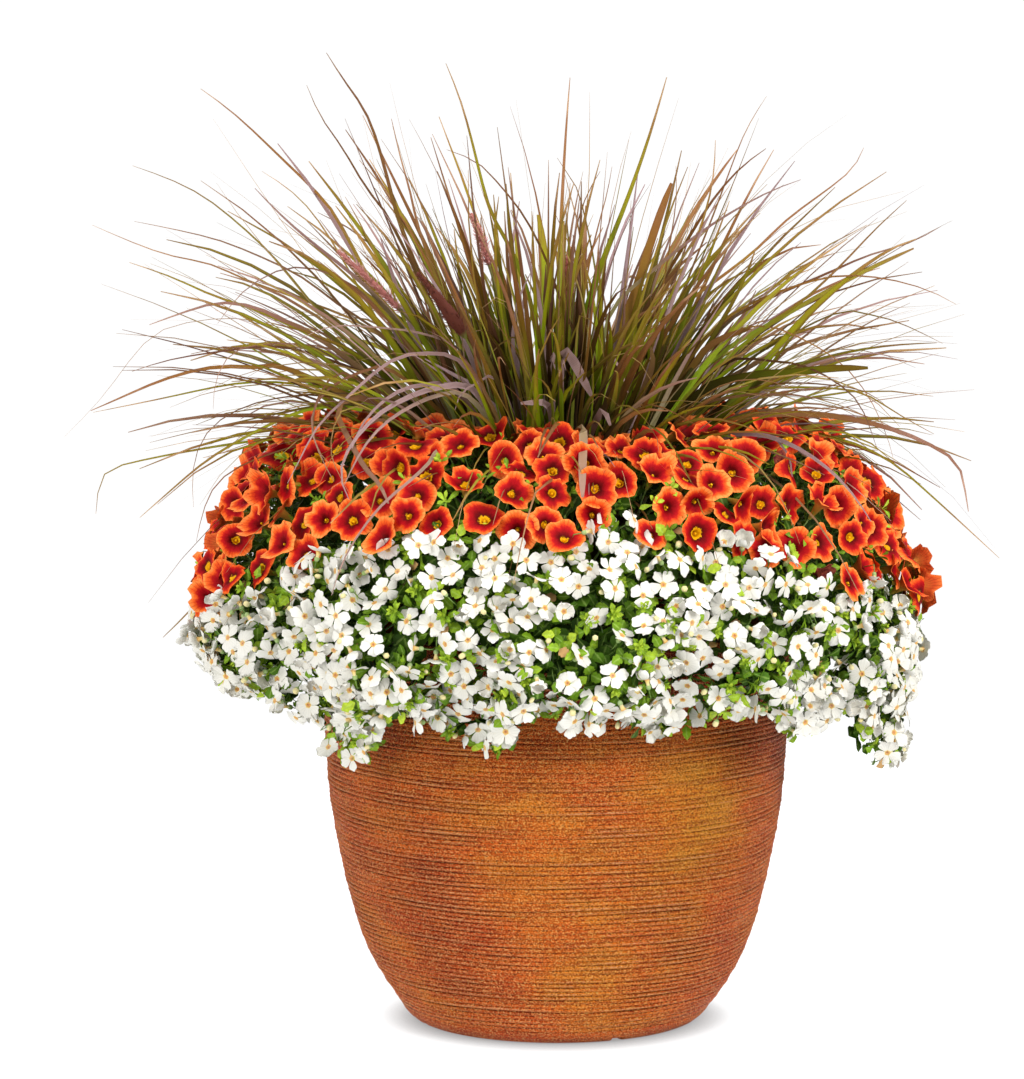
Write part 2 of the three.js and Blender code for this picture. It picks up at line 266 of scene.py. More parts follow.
def closed_net(rows, columns):
    """A closed net with a lid on its first and last row, as a tube has."""
    (faces,), (spots,) = net(rows, columns, True)
    turn = 2 * np.pi * np.arange(columns) / columns
    ring = 0.035 * np.stack([np.cos(turn), np.sin(turn)], 1)
    lids = np.stack([np.arange(columns)[::-1], (rows - 1) * columns + np.arange(columns)])
    lid_spots = np.stack([ring[::-1] + (0.25, 0.96), ring + (0.75, 0.96)])
    return [faces, lids], [spots * (1, 0.9), lid_spots]


class Growth:
    """Many copies of one net, each with its own points[copy, row, column], and marks of the same shape."""

    def __init__(self, points, unit, shape=1.0, **marks):
        self.points, self.unit, self.shape = points, unit, shape
        self.marks = {name: np.broadcast_to(value, points.shape[:3]) for name, value in marks.items()}

    def only(self, chosen):
        chosen_marks = {name: value[chosen] for name, value in self.marks.items()}
        return Growth(self.points[chosen], self.unit, self.shape, **chosen_marks)


def make_piece(name, growths, finish, replaced, crisp=None):
    """One mesh of several growths, each on its own strip of the map, riding on the body; edges that turn by
    more than crisp, in degrees, look sharp."""
    growths = [growth for growth in growths if len(growth.points)]
    share = np.array([np.sqrt(len(g.points) * g.points.shape[1] * g.points.shape[2]) for g in growths])
    strip = np.concatenate([[0], np.cumsum(share) / share.sum()])
    groups, sheets, first = [], [], 0
    for growth, low, high in zip(growths, strip, strip[1:]):
        count = len(growth.points)
        stride = growth.points.shape[1] * growth.points.shape[2]
        across = max(1, math.ceil(math.sqrt(count * growth.shape / (high - low))))
        down = math.ceil(count / across)
        number = np.arange(count)[:, None, None]
        corner = np.stack([number % across, number // across], -1)
        for faces, spots in zip(*growth.unit):
            groups.append((faces[None] + first + number * stride).reshape(-1, faces.shape[1]))
            place = (corner + 0.03 + 0.94 * spots[None]) / (across, down)
            sheets.append((place * (1, high - low) + (0, low)).reshape(-1, 2))
        first += count * stride
    corners = np.concatenate([group.ravel() for group in groups])
    sizes = np.concatenate([np.full(len(group), group.shape[1]) for group in groups])
    points = np.concatenate([growth.points.reshape(-1, 3) for growth in growths])
    mesh = bpy.data.meshes.new(name)
    mesh.vertices.add(len(points))
    mesh.vertices.foreach_set("co", points.astype(np.float32).ravel())
    mesh.loops.add(len(corners))
    mesh.loops.foreach_set("vertex_index", corners.astype(np.int32))
    mesh.polygons.add(len(sizes))
    mesh.polygons.foreach_set("loop_start", (np.cumsum(sizes) - sizes).astype(np.int32))
    mesh.polygons.foreach_set("use_smooth", np.ones(len(sizes), bool))
    for mark in growths[0].marks:
        values = np.concatenate([growth.marks[mark].ravel() for growth in growths])
        mesh.attributes.new(mark, "FLOAT", "POINT").data.foreach_set("value", values.astype(np.float32))
    sheet = np.concatenate(sheets).astype(np.float32)
    mesh.uv_layers.new(name="OFBake").data.foreach_set("uv", sheet.ravel())
    mesh.update(calc_edges=True)
    if crisp:
        mesh.set_sharp_from_angle(angle=math.radians(crisp))
    mesh.materials.append(finish)
    piece = bpy.data.objects.new(name, mesh)
    bpy.context.scene.collection.objects.link(piece)
    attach(piece, "root")
    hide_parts(*replaced)


def new_effect(name, inputs, outputs):
    """An effect that several finishes share: its group, its own nodes' helper, and its two ends."""
    group = bpy.data.node_groups.new(name, "ShaderNodeTree")
    for socket in inputs:
        group.interface.new_socket(socket, in_out="INPUT", socket_type="NodeSocketFloat")
    for socket in outputs:
        group.interface.new_socket(socket, in_out="OUTPUT", socket_type="NodeSocketFloat")
    start, end = group.nodes.new("NodeGroupInput"), group.nodes.new("NodeGroupOutput")
    return group, Finish(group), start.outputs, end.inputs


# Grain: fine random specks of one size, as a mask from 0 to 1.
grain, inner, given, put_out = new_effect("grain", ["Size"], ["Specks", "Patches"])
place = inner.add("TexCoord").outputs["Object"]
scale = inner.maths("DIVIDE", 1.0, given["Size"])
specks = inner.add("TexNoise", {"Vector": place, "Scale": scale, "Detail": 3.0,
                                "Roughness": 0.65}).outputs[0]
inner.feed(put_out["Specks"], inner.between(specks, 0.3, 0.7))
wide = inner.times(scale, 0.12)
patches = inner.add("TexNoise", {"Vector": place, "Scale": wide, "Detail": 2.0}).outputs[0]
inner.feed(put_out["Patches"], inner.between(patches, 0.35, 0.65))

# Combed stoneware: rust to gold stain in soft patches, some a painted highlight on the right side and
# painted shade under the flowers; dark grooves that come and go, rubbed ridges, and pits and light crumbs
# of coarse clay, the crumbs partly painted glints.
stoneware, finish, shader = new_material("combed_stoneware", 0.55)
shader.inputs["Specular IOR Level"].default_value = 0.17
coarse = finish.effect(grain, Size=0.0024)["Specks"]
fine = finish.effect(grain, Size=0.0014)["Specks"]
cloud = finish.between(finish.noise(0.05, 3.0, (1, 1, 2)), 0.34, 0.68)
# The stain's warmth, raised by a painted highlight on the right side and lowered by painted shade under the
# flowers.
warmth_and_light = finish.swayed(finish.mark("gold_and_light"), cloud, 0.3)
stain = finish.ramp(warmth_and_light, (0.0, "#B8390C"), (0.25, "#E85616"), (0.5, "#FC711C"), (0.75, "#FF8A20"),
                    (1.0, "#FFA22E"))
streak = finish.between(finish.noise(0.06, 3.0, (1, 1, 22)), 0.4, 0.66, 0.0, 0.52)
stain = finish.blend(streak, stain, "#A83E0E")
shown = finish.between(finish.noise(0.045, 2.0, (1, 1, 18)), 0.4, 0.62)
crest = finish.swayed(finish.mark("crest"), coarse, 0.34)
groove = finish.times(finish.between(crest, 0.5, 0.12), finish.between(shown, 0.0, 1.0, 0.7, 1.0))
groove_colour = finish.blend(finish.between(finish.mark("gold_and_light"), 0.5, 0.85), "#58190A", "#9A4A0E")
stain = finish.blend(groove, stain, groove_colour)
ridge = finish.times(finish.between(crest, 0.72, 1.15), finish.between(shown, 1.0, 0.0, 0.5, 1.0))
stain = finish.blend(ridge, stain, "#FFB078")
stain = finish.blend(finish.between(coarse, 0.36, 0.12, 0.0, 0.5), stain, "#8E300E")
stain = finish.blend(finish.between(fine, 0.36, 0.18, 0.0, 0.45), stain, "#7A260A")
# Light crumbs: partly pale grains of the clay, partly painted glints of light on the grains.
crumb_and_glint_colour = finish.blend(finish.mark("gold_and_light"), "#FFB684", "#FFBE48")
stain = finish.blend(finish.between(fine, 0.64, 0.8, 0.0, 0.8), stain, crumb_and_glint_colour)
finish.feed(shader.inputs["Base Color"], stain)
finish.raised(shader, finish.plus(coarse, finish.times(fine, 0.6)), 1.0, 0.003)

pot_line = rounded_line(POT_OUTSIDE, 20)


def pot_radius(height):
    """The pot's outer radius at a height, before it is combed."""
    return np.interp(height, pot_line[:, 1], pot_line[:, 0])


pot_turn = 2 * np.pi * np.arange(POT_COLUMNS) / POT_COLUMNS
ridge_count = int((POT_HEIGHT - LIP_ZONE - SHOULDER) / RIDGE_PITCH)
phase = np.arange(ridge_count * len(RIDGE_SECTION) + 1)
ridge_number, along_ridge = phase // len(RIDGE_SECTION), phase % len(RIDGE_SECTION)
level = SHOULDER + phase[:, None] * RIDGE_PITCH / len(RIDGE_SECTION) + 0 * pot_turn[None]
draw = np.random.default_rng(11)
strength = draw.uniform(0.55, 1.25, ridge_count + 1)[ridge_number][:, None]
strength = strength * np.clip(0.85 + 0.3 * drift(pot_turn[None], level, 3, 14, 26), 0.35, 1.3)
ends = np.clip(np.minimum((level - SHOULDER) / 0.012, (POT_HEIGHT - LIP_ZONE - level) / 0.006), 0, 1)
section = np.array(RIDGE_SECTION)[along_ridge][:, None]
lift = RIDGE_DEPTH * section * strength * ends
wander = 1.1 * MM * drift(pot_turn[None], level, 5, 6, 9) * ends
swell = 0.6 * MM * drift(pot_turn[None], level, 8, 5, 4) * ends
outer_level = level + wander
outer_radius = pot_radius(level) + lift + swell
crest_mark = 0.5 + 0.5 * section * np.clip(strength, 0, 1.2)
gold_and_light_mark = 0.47 + 0.11 * drift(pot_turn[None], level, 13, 5, 5)
# Some patches are the stain's own, some a painted highlight on the right side and painted shade under the
# flowers.
for direction, height, spread, tall, change in STAIN_AND_LIGHT_PATCHES:
    turned = np.degrees(pot_turn[None]) - direction
    turned = (turned + 180) % 360 - 180
    gold_and_light_mark = gold_and_light_mark + change * np.exp(-(turned / spread) ** 2 - ((level / MM - height) / tall) ** 2)
lip = [(-0.6, -4), (-1.6, -1.4), (-3.5, 0), (-6.5, 0), (-8.8, -1.4), (-10, -5)]
inside = [(-10, -40), (-10, -120), (-10, -200), (-10, -270), (-10.5, -310), (-11.5, -333)]
inner_level = np.array([POT_HEIGHT + drop * MM for _, drop in lip + inside])
inner_radius = pot_radius(inner_level) + np.array([depth * MM for depth, _ in lip + inside])
levels = np.concatenate([outer_level, inner_level[:, None] + 0 * pot_turn])
radii = np.concatenate([outer_radius, inner_radius[:, None] + 0 * pot_turn])
crests = np.concatenate([crest_mark, np.full((len(inner_level), POT_COLUMNS), 0.7)])
golds_and_light = np.concatenate([gold_and_light_mark, np.full((len(inner_level), POT_COLUMNS), 0.3)])
side_points = np.stack([radii * np.cos(pot_turn), radii * np.sin(pot_turn), levels], -1)[None]
(side_faces,), (side_spots,) = net(side_points.shape[1], POT_COLUMNS, True)
foot_ring = net(2, POT_COLUMNS, True)[0][0]
last_row = (side_points.shape[1] - 1) * POT_COLUMNS
foot_ring = np.where(foot_ring < POT_COLUMNS, foot_ring + last_row, foot_ring - POT_COLUMNS)
foot_spots = np.stack([np.array([(k, 0), (k + 1, 0), (k + 1, 1), (k, 1)]) for k in range(POT_COLUMNS)])
foot_spots = foot_spots / (POT_COLUMNS, 1) * (1, 0.03) + (0, 0.965)
side_net = ([side_faces, foot_ring], [side_spots * (1, 0.95), foot_spots])
side = Growth(side_points, side_net, crest=crests[None], gold_and_light=golds_and_light[None])
make_piece("pot_side", [side], stoneware, ["planter"])

# The base: a turned disc that closes the pot, bored and channelled for the drains.
base_line = [(0, 0), (116, 0), (121, 0.7), (124, 2), (129, 6), (132.4, 9.8), (133.6, 12), (122, 12),
             (121, POT_FLOOR / MM), (0, POT_FLOOR / MM)]


def turned_solid(name, outline, sides):
    """A solid of revolution from pairs of radius and height in millimetres that start and end on the axis."""
    turn = 2 * np.pi * np.arange(sides) / sides
    ring = np.array(outline[1:-1], float) * MM
    points = np.stack([ring[:, :1] * np.cos(turn), ring[:, :1] * np.sin(turn), ring[:, 1:] + 0 * turn], -1)
    faces, _ = closed_net(len(ring), sides)
    mesh = bpy.data.meshes.new(name)
    mesh.from_pydata(points.reshape(-1, 3).tolist(), [], [face for group in faces for face in group.tolist()])
    piece = bpy.data.objects.new(name, mesh)
    bpy.context.scene.collection.objects.link(piece)
    return piece


def cut_away(piece, cutters):
    """Takes the cutters' space out of the piece for good."""
    for cutter in cutters:
        step = piece.modifiers.new("cut", "BOOLEAN")
        step.object = cutter
        step.solver = "EXACT"
    bpy.context.view_layer.update()
    shaped = bpy.data.meshes.new_from_object(piece.evaluated_get(bpy.context.evaluated_depsgraph_get()))
    piece.modifiers.clear()
    piece.data = shaped
    for cutter in cutters:
        bpy.data.objects.remove(cutter)


pot_base = turned_solid("pot_base", base_line, 128)
cutters = []
for direction in DRAIN_DIRECTIONS:
    turn = math.radians(direction)
    hole = turned_solid("drain", [(0, -20), (DRAIN_RADIUS / MM, -20), (DRAIN_RADIUS / MM, 40), (0, 40)], 32)
    hole.location = (DRAIN_CIRCLE * math.cos(turn), DRAIN_CIRCLE * math.sin(turn), 0)
    channel = bpy.data.objects.new("channel", bpy.data.meshes.new("channel"))
    bpy.context.scene.collection.objects.link(channel)
    walls = [(r, s * CHANNEL_WIDTH / 2, z) for r in (DRAIN_CIRCLE, CHANNEL_END) for s in (-1, 1)
             for z in (-CHANNEL_DEPTH, CHANNEL_DEPTH)]
    sides = [(0, 1, 3, 2), (4, 6, 7, 5), (0, 4, 5, 1), (2, 3, 7, 6), (0, 2, 6, 4), (1, 5, 7, 3)]
    channel.data.from_pydata(walls, [], sides)
    channel.rotation_euler = (0, 0, turn)
    cutters += [hole, channel]
cut_away(pot_base, cutters)
for mark, value in (("crest", 0.6), ("gold_and_light", 0.4)):
    pot_base.data.attributes.new(mark, "FLOAT", "POINT").data.foreach_set(
        "value", np.full(len(pot_base.data.vertices), value, np.float32))
pot_base.data.materials.clear()
pot_base.data.materials.append(stoneware)
pot_base.data.shade_smooth()
pot_base.data.set_sharp_from_angle(angle=math.radians(35))
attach(pot_base, "root")
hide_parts("planter")

# ---- potting mix --------------------------------------------------------------------------------------
# Peat, composted bark and a little white perlite fill the pot to just under its rim. The bed keeps the
# pockets of the root balls, and loose bark and perlite lie on top of it.

SOIL_TOP = 319 * MM
SOIL_RADIUS = 0.183
CRUMB_COUNT = 360
CRUMB_COLUMNS = 4

mix, finish, shader = new_material("potting_mix", 0.95)
peat = finish.effect(grain, Size=0.004)
colour = finish.blend(peat["Specks"], "#1E140D", "#4A3626")
colour = finish.blend(finish.between(peat["Patches"], 0.6, 1.0), colour, "#5B4430")
finish.feed(shader.inputs["Base Color"], colour)
finish.raised(shader, peat["Specks"], 1.0, 0.002)
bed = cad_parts["potting_mix"]
bed.data.materials.clear()
bed.data.materials.append(mix)

bark, finish, shader = new_material("bark_and_perlite", 0.9)
tint = finish.mark("tint")
colour = finish.ramp(tint, (0.0, "#1C120B"), (0.45, "#4B3220"), (0.8, "#7A5636"), (0.86, "#D8D2C4"),
                     (1.0, "#EFEBE0"))
rough = finish.effect(grain, Size=0.0015)
colour = finish.blend(finish.between(rough["Specks"], 0.0, 0.5, 0.4, 0.0), colour, "#1C120B")
finish.feed(shader.inputs["Base Color"], colour)


def turned_about(points, azimuth):
    """Points[n, ...] turned about the pot's axis by azimuth[n], in radians."""
    c, s = (f(azimuth).reshape((-1,) + (1,) * (points.ndim - 2)) for f in (np.cos, np.sin))
    return np.stack([points[..., 0] * c - points[..., 1] * s, points[..., 0] * s + points[..., 1] * c,
                     points[..., 2]], -1)


draw = np.random.default_rng(21)
crumb_radius = SOIL_RADIUS * np.sqrt(draw.uniform(0.02, 1, CRUMB_COUNT))
crumb_turn = draw.uniform(0, 2 * np.pi, CRUMB_COUNT)
crumb_size = draw.uniform(1.4, 4.2, (CRUMB_COUNT, 1, 1)) * MM
ball = np.array([(0.4, -0.8), (1.0, 0.0), (0.4, 0.8)])
turn = 2 * np.pi * np.arange(CRUMB_COLUMNS) / CRUMB_COLUMNS
wobble = draw.uniform(0.6, 1.3, (CRUMB_COUNT, len(ball), CRUMB_COLUMNS))
ring = ball[None, :, :1] * wobble * crumb_size
crumbs = np.stack([ring * np.cos(turn) * draw.uniform(0.8, 1.9, (CRUMB_COUNT, 1, 1)), ring * np.sin(turn),
                   ball[None, :, 1:] * crumb_size * 0.7 + 0 * ring], -1)
crumb_place = np.stack([crumb_radius * np.cos(crumb_turn), crumb_radius * np.sin(crumb_turn),
                        SOIL_TOP - 0.0005 - 0.002 * crumb_radius / SOIL_RADIUS], -1)
crumbs = turned_about(crumbs, crumb_turn * 3) + crumb_place[:, None, None]
crumb_tint = np.where(draw.uniform(0, 1, CRUMB_COUNT) < 0.12, 0.95, draw.uniform(0, 0.8, CRUMB_COUNT))
loose = Growth(crumbs, closed_net(len(ball), CRUMB_COLUMNS), tint=crumb_tint[:, None, None])
make_piece("bark_and_perlite", [loose], bark, [])

# ---- fountain grass -----------------------------------------------------------------------------------
# A clump of purple fountain grass: hundreds of narrow keeled leaves packed in a tuft, olive at the foot and
# bronze to burgundy above, which climb, bend over and end in dry tips. Each leaf is a thin closed strap.

GRASS_ROOT_BALL = (58, 46, 130)        # radius at the top and bottom, and height
ROOT_TOP = 322 * MM
LEAF_FOOT = (30, 345)
LEAF_RISE = (52, 545)
CLUMP_EDGE = (66, 470)                 # where a leaf with a course of its own leaves the clump
LEAF_STEPS = 18
SWAY = 12                              # how far a known leaf or culm leans to one side, in millimetres
# Long leaves, most of them at the back: direction, then distance and height of the bend and of the tip, in
# degrees and millimetres.
LONG_LEAVES = [
    [60, 190, 660, 330, 742], [75, 200, 690, 372, 600], [90, 130, 670, 250, 808],
    [103, 220, 640, 385, 650], [117, 170, 680, 300, 770], [131, 210, 670, 380, 560],
    [255, 110, 650, 196, 742], [275, 130, 650, 232, 664],
]
# Leaves with a course of their own: width in millimetres, then colour, dryness and bluntness from 0 to 1,
# then the points they pass after the clump, in millimetres.
BENT_LEAVES = [
    (7, 0.3, 0, 1, [(-8, -20, 630), (-17, 0, 700)]),
    (7, 0.3, 0.1, 1, [(3, -14, 630), (6, 0, 694)]),
    (6, 0.97, 0.15, 1, [(-8, -112, 574), (-2, -118, 582), (3, -126, 564)]),
    (7.5, 0.99, 0.1, 1, [(2, -110, 575), (8, -117, 587), (19, -127, 570), (30, -133, 549)]),
    (6.5, 0.98, 0.1, 0, [(44, -108, 567), (47, -116, 581), (54, -123, 570), (60, -127, 551)]),
    (3.5, 0.5, 0.3, 0, [(17, -100, 605), (23, -106, 615), (34, -112, 606), (40, -118, 579)]),
    (5, 0.98, 0.1, 1, [(34, -148, 533), (39, -155, 542), (45, -161, 527)]),
    (6, 0.93, 0.3, 1, [(17, -160, 521), (22, -206, 529), (21, -246, 504), (21, -270, 478)]),
    (5, 0.97, 0.1, 1, [(-4, -146, 540), (-15, -158, 547), (-31, -164, 547)]),
    (5, 0.97, 0.1, 0, [(-47, -136, 565), (-65, -148, 562), (-79, -158, 555), (-84, -162, 540)]),
    (5.5, 0.56, 0.25, 1, [(79, -108, 566), (78, -114, 591)]),
    (3.6, 0.62, 0.2, 0, [(46, -146, 531), (66, -160, 545), (87, -172, 545), (117, -192, 530)]),
    (4.5, 0.25, 0.1, 0, [(-24, -118, 593), (-40, -126, 596), (-53, -132, 589), (-58, -136, 575)]),
    (4, 1, 0.05, 0, [(-72, -120, 573), (-104, -150, 587), (-127, -162, 586), (-146, -172, 576),
                     (-171, -188, 554), (-189, -198, 538), (-199, -206, 525), (-207, -212, 509),
                     (-220, -218, 484)]),
    (6.5, 0.98, 0.05, 0, [(-65, -126, 553), (-86, -146, 560), (-107, -164, 558), (-129, -182, 550),
                          (-149, -198, 538), (-166, -214, 519), (-174, -226, 503), (-174, -238, 489),
                          (-167, -248, 475)]),
    (5, 0.94, 0.15, 0, [(-68, -130, 547), (-91, -150, 554), (-114, -170, 548), (-138, -192, 535),
                        (-155, -208, 518), (-166, -222, 499), (-172, -236, 486)]),
    (5.5, 0.99, 0.05, 0, [(-82, -120, 554), (-105, -148, 561), (-126, -164, 559), (-146, -180, 547),
                          (-161, -196, 529), (-167, -206, 512)]),
    (4.8, 0.89, 0.15, 0.6, [(-154, -120, 547), (-180, -130, 543), (-183, -134, 537), (-172, -160, 518),
                            (-156, -200, 496), (-144, -224, 487), (-135, -246, 471)]),
    (3.8, 0.86, 0.05, 0, [(-131, -110, 568), (-160, -122, 570), (-181, -132, 562), (-198, -142, 548),
                          (-203, -152, 529), (-199, -162, 514), (-190, -172, 495), (-182, -182, 483)]),
    (4, 0.93, 0.1, 0, [(-91, -180, 513), (-101, -215, 505), (-117, -246, 492), (-139, -262, 475),
                       (-158, -274, 452), (-172, -280, 428), (-181, -284, 400)]),
    (2, 0.5, 0.5, 0, [(-139, -120, 531), (-158, -134, 539), (-174, -142, 543), (-184, -150, 528),
                      (-186, -170, 506), (-177, -198, 490), (-166, -222, 474)]),
    (3.5, 0.7, 0.15, 0, [(-172, -110, 568), (-190, -120, 558), (-200, -130, 547), (-202, -142, 523),
                         (-197, -152, 506), (-184, -160, 493)]),
    (7.5, 0.12, 0.02, 1, [(121, -60, 548), (144, -66, 558), (170, -72, 564), (199, -78, 566), (229, -84, 570),
                          (264, -92, 571)]),
    (7, 0.88, 0.02, 0, [(151, -60, 524), (184, -68, 530), (214, -76, 531), (245, -84, 528), (277, -92, 521),
                        (305, -100, 511), (329, -108, 498), (338, -116, 486), (344, -124, 450)]),
    (5.5, 0.95, 0, 0, [(132, -110, 512), (156, -126, 519), (183, -140, 516), (210, -152, 503),
                       (231, -164, 487), (247, -172, 469), (260, -178, 449)]),
    (4, 0.95, 0.05, 0, [(153, -110, 515), (176, -130, 517), (187, -142, 511), (194, -156, 496),
                        (193, -170, 480), (183, -182, 469)]),
    (3.2, 0.82, 0, 0, [(134, -60, 570), (174, -70, 575), (209, -80, 572), (240, -90, 555), (253, -98, 542),
                       (261, -104, 525), (268, -110, 504)]),
    (5.5, 0.58, 0.1, 1, [(117, -70, 574), (131, -76, 590), (146, -80, 598), (164, -84, 604)]),
    (8, 0.1, 0, 0, [(97, -70, 539), (120, -66, 575), (140, -62, 609), (158, -58, 642), (169, -54, 672)]),
    (8.5, 0.14, 0, 0, [(126, -64, 515), (160, -60, 553), (191, -56, 591), (218, -52, 620), (248, -48, 645),
                       (280, -44, 667), (306, -40, 677)]),
    (5, 0.4, 0.05, 0, [(181, -40, 560), (211, -42, 571), (247, -44, 581), (287, -46, 587), (325, -48, 589)]),
    (6, 0.9, 0, 0, [(-192, -40, 586), (-230, -44, 606), (-253, -47, 618), (-281, -50, 623), (-306, -53, 618),
                    (-348, -58, 603)]),
    (6, 0.6, 0.1, 0, [(-218, -40, 563), (-250, -50, 567), (-289, -56, 569), (-331, -62, 559),
                      (-369, -68, 543), (-395, -74, 532)]),
    (4.3, 0.62, 0.1, 0, [(-138, -10, 597), (-184, 4, 685), (-205, 18, 712), (-236, 32, 741), (-277, 46, 779),
                         (-311, 60, 803)]),
    (3.9, 0.66, 0.1, 0, [(-99, -40, 599), (-140, -48, 692), (-159, -56, 717), (-180, -64, 754),
                         (-198, -72, 780), (-210, -80, 809)]),
    (6.5, 0.7, 0.1, 0, [(-100, -10, 597), (-134, 13, 684), (-147, 36, 729), (-163, 60, 777), (-184, 83, 806),
                        (-203, 106, 834)]),
    (4.3, 0.78, 0.1, 0, [(-78, -40, 573), (-115, -35, 677), (-123, -30, 711), (-133, -25, 746),
                         (-141, -20, 780)]),
    (5.2, 0.3, 0.1, 0, [(-14, -40, 582), (-33, -56, 658), (-55, -72, 698), (-67, -88, 745), (-79, -104, 792),
                        (-93, -120, 828)]),
    (5.2, 0.92, 0, 0, [(-107, -40, 565), (-140, -60, 614), (-166, -80, 644), (-199, -100, 672),
                       (-227, -120, 698), (-251, -140, 725)]),
    (3, 0.45, 0.1, 0, [(-134, -10, 562), (-149, -4, 597), (-174, 2, 640), (-199, 8, 682), (-224, 14, 712),
                       (-256, 20, 733)]),
    (3.4, 0.42, 0.2, 0, [(-151, -10, 562), (-192, 0, 597), (-237, 10, 652), (-271, 20, 684), (-314, 30, 716),
                         (-371, 40, 737)]),
    (2.6, 0.6, 0.3, 0, [(-134, -10, 580), (-195, 20, 612), (-265, 50, 634), (-303, 80, 649), (-349, 110, 656),
                        (-417, 140, 682)]),
    (4.3, 0.15, 0, 0, [(-134, -10, 537), (-186, -4, 579), (-255, 2, 612), (-295, 7, 625), (-331, 13, 641),
                       (-371, 19, 654)]),
    (2.6, 0.85, 0.3, 0, [(-133, -40, 582), (-182, -44, 618), (-216, -48, 645), (-258, -52, 665),
                         (-295, -56, 679), (-362, -60, 693)]),
    (2.6, 0.9, 0.1, 0, [(-133, -40, 599), (-183, -50, 644), (-214, -60, 653), (-235, -70, 651),
                        (-264, -80, 634), (-286, -90, 605)]),
    (3.9, 0.68, 0, 0, [(28, -40, 565), (6, -43, 616), (-9, -47, 660), (-28, -50, 697), (-48, -53, 722),
                       (-67, -57, 742), (-95, -60, 753)]),
    (2.6, 0.95, 0.3, 0, [(-73, -40, 556), (-81, -64, 585), (-114, -88, 600), (-150, -112, 606),
                         (-188, -136, 609), (-215, -160, 597)]),
    (3.4, 0.85, 0.05, 0, [(-116, -40, 539), (-183, -44, 570), (-233, -48, 586), (-280, -52, 582),
                          (-327, -56, 575), (-362, -60, 564)]),
    (3, 0.15, 0, 0, [(-117, -10, 528), (-211, -8, 549), (-259, -6, 552), (-295, -4, 547), (-340, -2, 537),
                     (-404, 0, 524)]),
    (2.6, 0.4, 0.1, 0, [(-116, -40, 522), (-184, -40, 537), (-249, -40, 525), (-314, -40, 511),
                        (-349, -40, 502)]),
    (3.4, 0.3, 0.1, 0, [(-117, -10, 511), (-186, -3, 510), (-256, 3, 501), (-305, 10, 493), (-368, 17, 480),
                        (-394, 23, 468), (-400, 30, 431)]),
    (4.7, 0.35, 0.05, 0, [(-116, -40, 518), (-193, -38, 535), (-242, -36, 519), (-293, -34, 491),
                          (-326, -32, 464), (-359, -30, 435)]),
    (2.1, 0.9, 0.1, 0, [(-133, -40, 556), (-192, -54, 585), (-247, -68, 589), (-274, -82, 582),
                        (-286, -96, 559), (-287, -110, 535)]),
    (2.1, 0.8, 0.2, 0, [(-133, -40, 539), (-217, -56, 545), (-267, -72, 535), (-295, -88, 515),
                        (-305, -104, 486), (-303, -120, 453)]),
    (2.6, 0.75, 0.1, 0, [(-133, -40, 514), (-201, -50, 506), (-255, -60, 491), (-286, -70, 473),
                         (-298, -80, 449), (-304, -90, 421)]),
    (5, 0.3, 0.1, 0, [(-134, -10, 502), (-221, 8, 483), (-274, 25, 407), (-311, 43, 357), (-348, 60, 319)]),
    (1, 0.6, 0.6, 0, [(-218, -40, 599), (-314, -53, 606), (-350, -65, 588), (-381, -78, 546),
                      (-417, -90, 509)]),
    (6.5, 0.35, 0.1, 0, [(13, -40, 565), (25, -75, 618), (37, -110, 659), (54, -144, 703), (74, -179, 762),
                         (90, -214, 820)]),
    (2.6, 0.7, 0.1, 0, [(84, -10, 563), (106, 30, 620), (134, 70, 686), (149, 110, 721), (167, 150, 763),
                        (189, 190, 795)]),
    (4.3, 0.5, 0.1, 0, [(62, -40, 556), (87, -40, 608), (105, -40, 645), (120, -40, 680), (132, -40, 724),
                        (134, -40, 763)]),
    (5.2, 0.68, 0, 0, [(63, -10, 580), (90, -2, 637), (109, 6, 668), (130, 14, 702), (156, 22, 733),
                       (182, 30, 752)]),
    (3.9, 0.92, 0, 0, [(37, -40, 599), (76, -50, 645), (112, -60, 676), (143, -70, 698), (178, -80, 718),
                       (206, -90, 729)]),
    (3.9, 0.6, 0.1, 0, [(71, -10, 580), (135, 13, 636), (170, 37, 661), (198, 60, 687), (230, 83, 709),
                        (259, 107, 730), (271, 130, 750)]),
    (3.9, 0.5, 0.1, 0, [(122, -40, 556), (179, -59, 604), (209, -78, 628), (241, -98, 661), (265, -117, 689),
                        (291, -136, 715)]),
    (3.4, 0.85, 0, 0, [(114, -10, 580), (182, 8, 623), (228, 25, 641), (268, 43, 658), (307, 60, 668),
                       (337, 78, 683)]),
    (4.3, 0.35, 0.2, 1, [(123, -10, 563), (174, -7, 597), (217, -5, 622), (265, -2, 648), (309, 0, 668)]),
    (3, 0.6, 0.1, 0, [(122, -40, 590), (172, -43, 625), (206, -47, 638), (237, -50, 646), (276, -53, 644),
                      (314, -57, 634), (339, -60, 621)]),
    (6.9, 0.6, 0.1, 1, [(54, -40, 590), (66, -40, 629), (77, -40, 665), (87, -40, 696), (98, -40, 726)]),
    (2.6, 0.6, 0.1, 0, [(84, -40, 599), (97, -47, 681), (101, -53, 712), (100, -60, 741)]),
    (3.4, 0.65, 0.1, 0, [(20, -40, 599), (32, -43, 675), (42, -47, 712), (47, -50, 740)]),
    (4.3, 0.12, 0, 0, [(156, -40, 539), (207, -37, 603), (233, -33, 628), (253, -30, 645)]),
    (3.4, 0.3, 0.1, 0, [(122, -40, 505), (160, -37, 513), (200, -34, 512), (242, -31, 506), (283, -29, 488),
                        (313, -26, 463), (344, -23, 435), (383, -20, 399)]),
